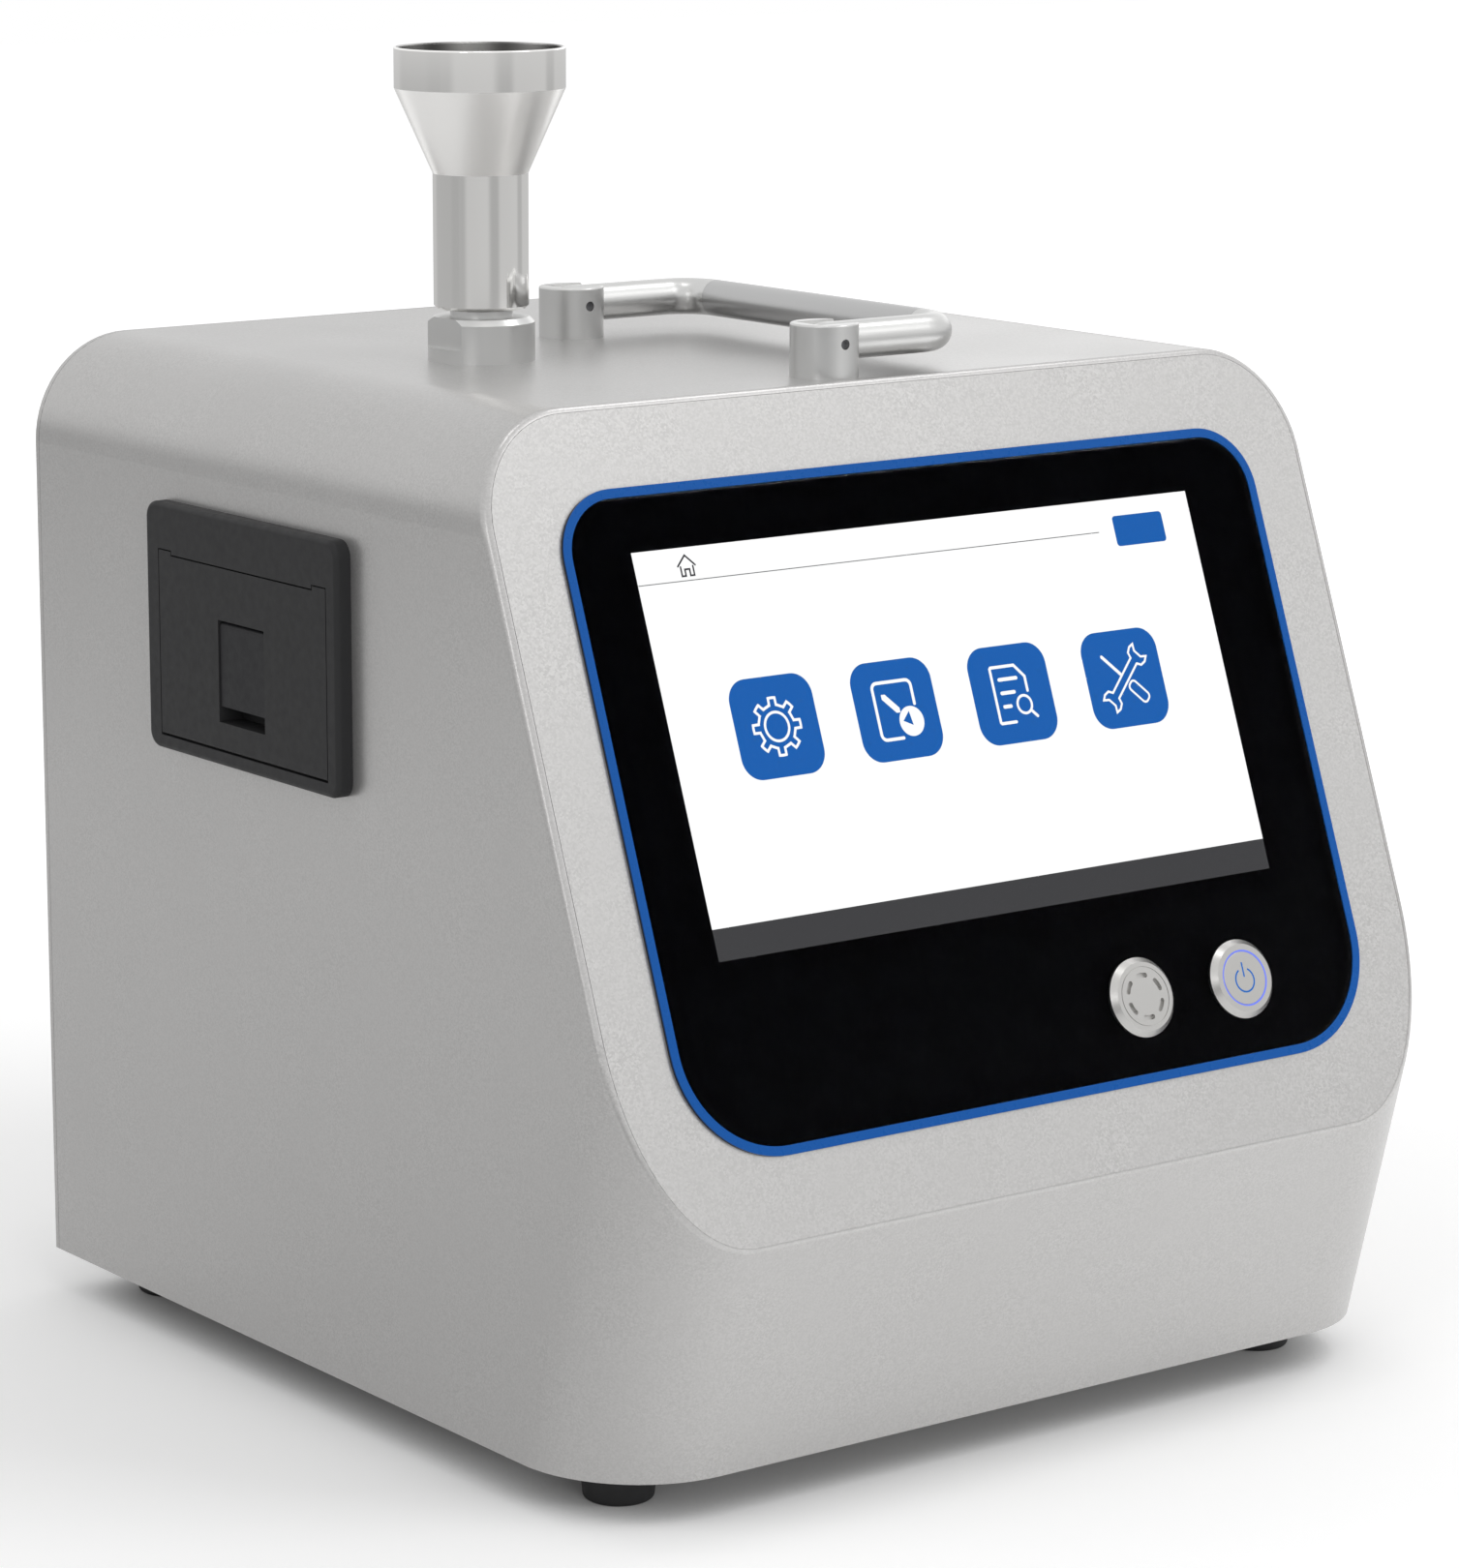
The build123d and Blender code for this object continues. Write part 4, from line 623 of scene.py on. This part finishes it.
CAMERA_PLACE = (-0.73921, -0.97664, 0.38670)
CAMERA_RIGHT = Vector((0.811477, -0.584384, -0.000773))
CAMERA_DOWN = Vector((-0.127846, -0.176237, -0.976010))
CAMERA_FORWARD = Vector((0.570229, 0.792108, -0.217723))
CAMERA_LENS = 126.19
CAMERA_SHIFT = (0.0795, 0.0681)


def stage_material(name):
    """A stage material, not sampled as a lamp, and the helpers for its empty tree."""
    m = bpy.data.materials.new(name)
    m.cycles.emission_sampling = "NONE"
    m.use_nodes = True
    m.node_tree.nodes.clear()
    return m, Graph(m.node_tree)


def stage_piece(name, corners, faces, material):
    """A plain mesh of the stage."""
    mesh = bpy.data.meshes.new(name)
    mesh.from_pydata(corners, [], faces)
    mesh.materials.append(material)
    obj = bpy.data.objects.new(name, mesh)
    bpy.context.collection.objects.link(obj)
    return obj


def seen_directly(g, in_gloss=1.0):
    """1 for what the camera or a glass shows, in_gloss in a mirror, 0 for the light on surfaces."""
    ray = g.node("ShaderNodeLightPath").outputs
    mirror = g.math("MULTIPLY", ray["Is Glossy Ray"], in_gloss)
    shown = g.math("MAXIMUM", ray["Is Camera Ray"], mirror)
    return g.math("MAXIMUM", shown, ray["Is Transmission Ray"])


def floor_material():
    """Matt floor. Where it is seen, a glow lifts it towards white, and a painted contact shadow darkens its
    colour and its glow by ambient occlusion where the object stands close.
    """
    m, g = stage_material("floor")
    place = g.node("ShaderNodeTexCoord").outputs["Object"]
    painted_shadow_ao = g.node("ShaderNodeAmbientOcclusion", samples=SHADE_RAYS, Distance=SHADE_REACH).outputs["AO"]
    far = g.node("ShaderNodeVectorMath", operation="LENGTH")
    across = g.node("ShaderNodeSeparateXYZ")
    g.link(place, far.inputs[0])
    g.link(place, across.inputs[0])
    side = g.spread(across.outputs["X"], GLOSS_LEFT, 1.0, GLOSS_SPAN, "SMOOTHSTEP")
    direct = seen_directly(g, side)
    # painted contact shadow: the seen colour darkens with the occlusion under the object
    shade = g.spread(painted_shadow_ao, *FLOOR_SHADE, SHADE_SPAN)
    glow = g.spread(far.outputs["Value"], FLOOR_GLOW, FLOOR_FAR, GLOW_SPAN, "SMOOTHSTEP")
    diffuse = g.node("ShaderNodeBsdfDiffuse")
    light = g.node("ShaderNodeEmission")
    both = g.node("ShaderNodeAddShader")
    out = g.node("ShaderNodeOutputMaterial")
    g.link(g.blend(direct, FLOOR_GREY, shade), diffuse.inputs["Color"])
    # the glow is dimmed by the same occlusion, as painted shadow
    g.link(g.math("MULTIPLY", g.math("MULTIPLY", glow, painted_shadow_ao), direct), light.inputs["Strength"])
    g.link(diffuse.outputs[0], both.inputs[0])
    g.link(light.outputs[0], both.inputs[1])
    g.link(both.outputs[0], out.inputs["Surface"])
    return m


def world():
    """White where it is seen, and a plain level of light on surfaces."""
    w = bpy.data.worlds.new("studio")
    bpy.context.scene.world = w
    w.use_nodes = True
    g = Graph(w.node_tree)
    back = w.node_tree.nodes["Background"]
    back.inputs["Color"].default_value = (1.0, 1.0, 1.0, 1.0)
    g.link(g.spread(seen_directly(g), AMBIENT, 1.0, (0.0, 1.0)), back.inputs["Strength"])


def bearing_ramp(g, share, levels):
    """Grey level by bearing; share runs from 0 to 1 once round, starting at -X."""
    ramp = g.node("ShaderNodeValToRGB")
    ramp.color_ramp.interpolation = "EASE"
    stops = sorted(((degrees / 360 + 0.5) % 1.0, (level, level, level, 1)) for degrees, level in levels)
    first, last = ramp.color_ramp.elements
    first.position, first.color = stops[0]
    last.position, last.color = stops[-1]
    for position, grey in stops[1:-1]:
        ramp.color_ramp.elements.new(position).color = grey
    g.link(share, ramp.inputs[0])
    return ramp.outputs["Color"]


def flags_material():
    """Two rows of flags and a crown, which is brighter where the upper row is darker."""
    m, g = stage_material("flags")
    place = g.node("ShaderNodeSeparateXYZ")
    g.link(g.node("ShaderNodeTexCoord").outputs["Object"], place.inputs[0])
    bearing = g.math("ARCTAN2", place.outputs["Y"], place.outputs["X"])
    share = g.spread(bearing, 0.0, 1.0, (-math.pi, math.pi))
    low = bearing_ramp(g, share, FLAGS_LOW)
    high = bearing_ramp(g, share, FLAGS_HIGH)
    crown = g.math("SUBTRACT", CROWN_SUM, high)

    def over(foot, top, below, above):
        """One level below a height and another above it, softly joined from foot to top."""
        rise = g.spread(place.outputs["Z"], 0.0, 1.0, (foot, top), "SMOOTHSTEP")
        return g.blend(rise, below, above)

    rows = over(LOW_TOP, HIGH_FOOT, low, high)
    light = g.node("ShaderNodeEmission")
    out = g.node("ShaderNodeOutputMaterial")
    g.link(over(HIGH_TOP, CROWN_FOOT, rows, crown), light.inputs["Strength"])
    g.link(light.outputs[0], out.inputs["Surface"])
    return m


def flag_ring():
    """The ring that carries the flags. Only mirror-like surfaces show it."""
    corners = []
    for z in (FLAG_FOOT, FLAG_HEIGHT):
        corners += [(x, y, z) for x, y in circle(0, 0, FLAG_RADIUS, FLAG_SIDES)]
    faces = []
    for i in range(FLAG_SIDES):
        j = (i + 1) % FLAG_SIDES
        faces.append((i, j, FLAG_SIDES + j, FLAG_SIDES + i))
    ring = stage_piece("flags", corners, faces, flags_material())
    ring.visible_camera = ring.visible_diffuse = ring.visible_shadow = ring.visible_transmission = False


def lamp(name, where, aim, size, watts, in_gloss):
    """A rectangular lamp that the camera doesn't see."""
    data = bpy.data.lights.new(name, "AREA")
    data.shape = "RECTANGLE"
    data.size, data.size_y = size
    data.energy = watts
    obj = bpy.data.objects.new(name, data)
    bpy.context.collection.objects.link(obj)
    obj.location = where
    obj.rotation_euler = (Vector(aim) - Vector(where)).to_track_quat("-Z", "Y").to_euler()
    obj.visible_glossy = in_gloss
    obj.visible_camera = False


floor_corners = [(x * FLOOR_HALF, y * FLOOR_HALF, 0) for x, y in ((-1, -1), (1, -1), (1, 1), (-1, 1))]
stage_piece("floor", floor_corners, [(0, 1, 2, 3)], floor_material())
world()
flag_ring()
for settings in LAMPS:
    lamp(*settings)

camera_data = bpy.data.cameras.new("camera")
camera = bpy.data.objects.new("camera", camera_data)
bpy.context.collection.objects.link(camera)
turn = Matrix((CAMERA_RIGHT, -CAMERA_DOWN, -CAMERA_FORWARD)).transposed().to_4x4()
camera.matrix_world = Matrix.Translation(CAMERA_PLACE) @ turn
camera_data.sensor_fit = "HORIZONTAL"
camera_data.sensor_width = 36.0
camera_data.lens = CAMERA_LENS
camera_data.shift_x, camera_data.shift_y = CAMERA_SHIFT
camera_data.clip_start = 0.05
camera_data.clip_end = 50
bpy.context.scene.camera = camera
bpy.context.scene.view_settings.view_transform = "Standard"
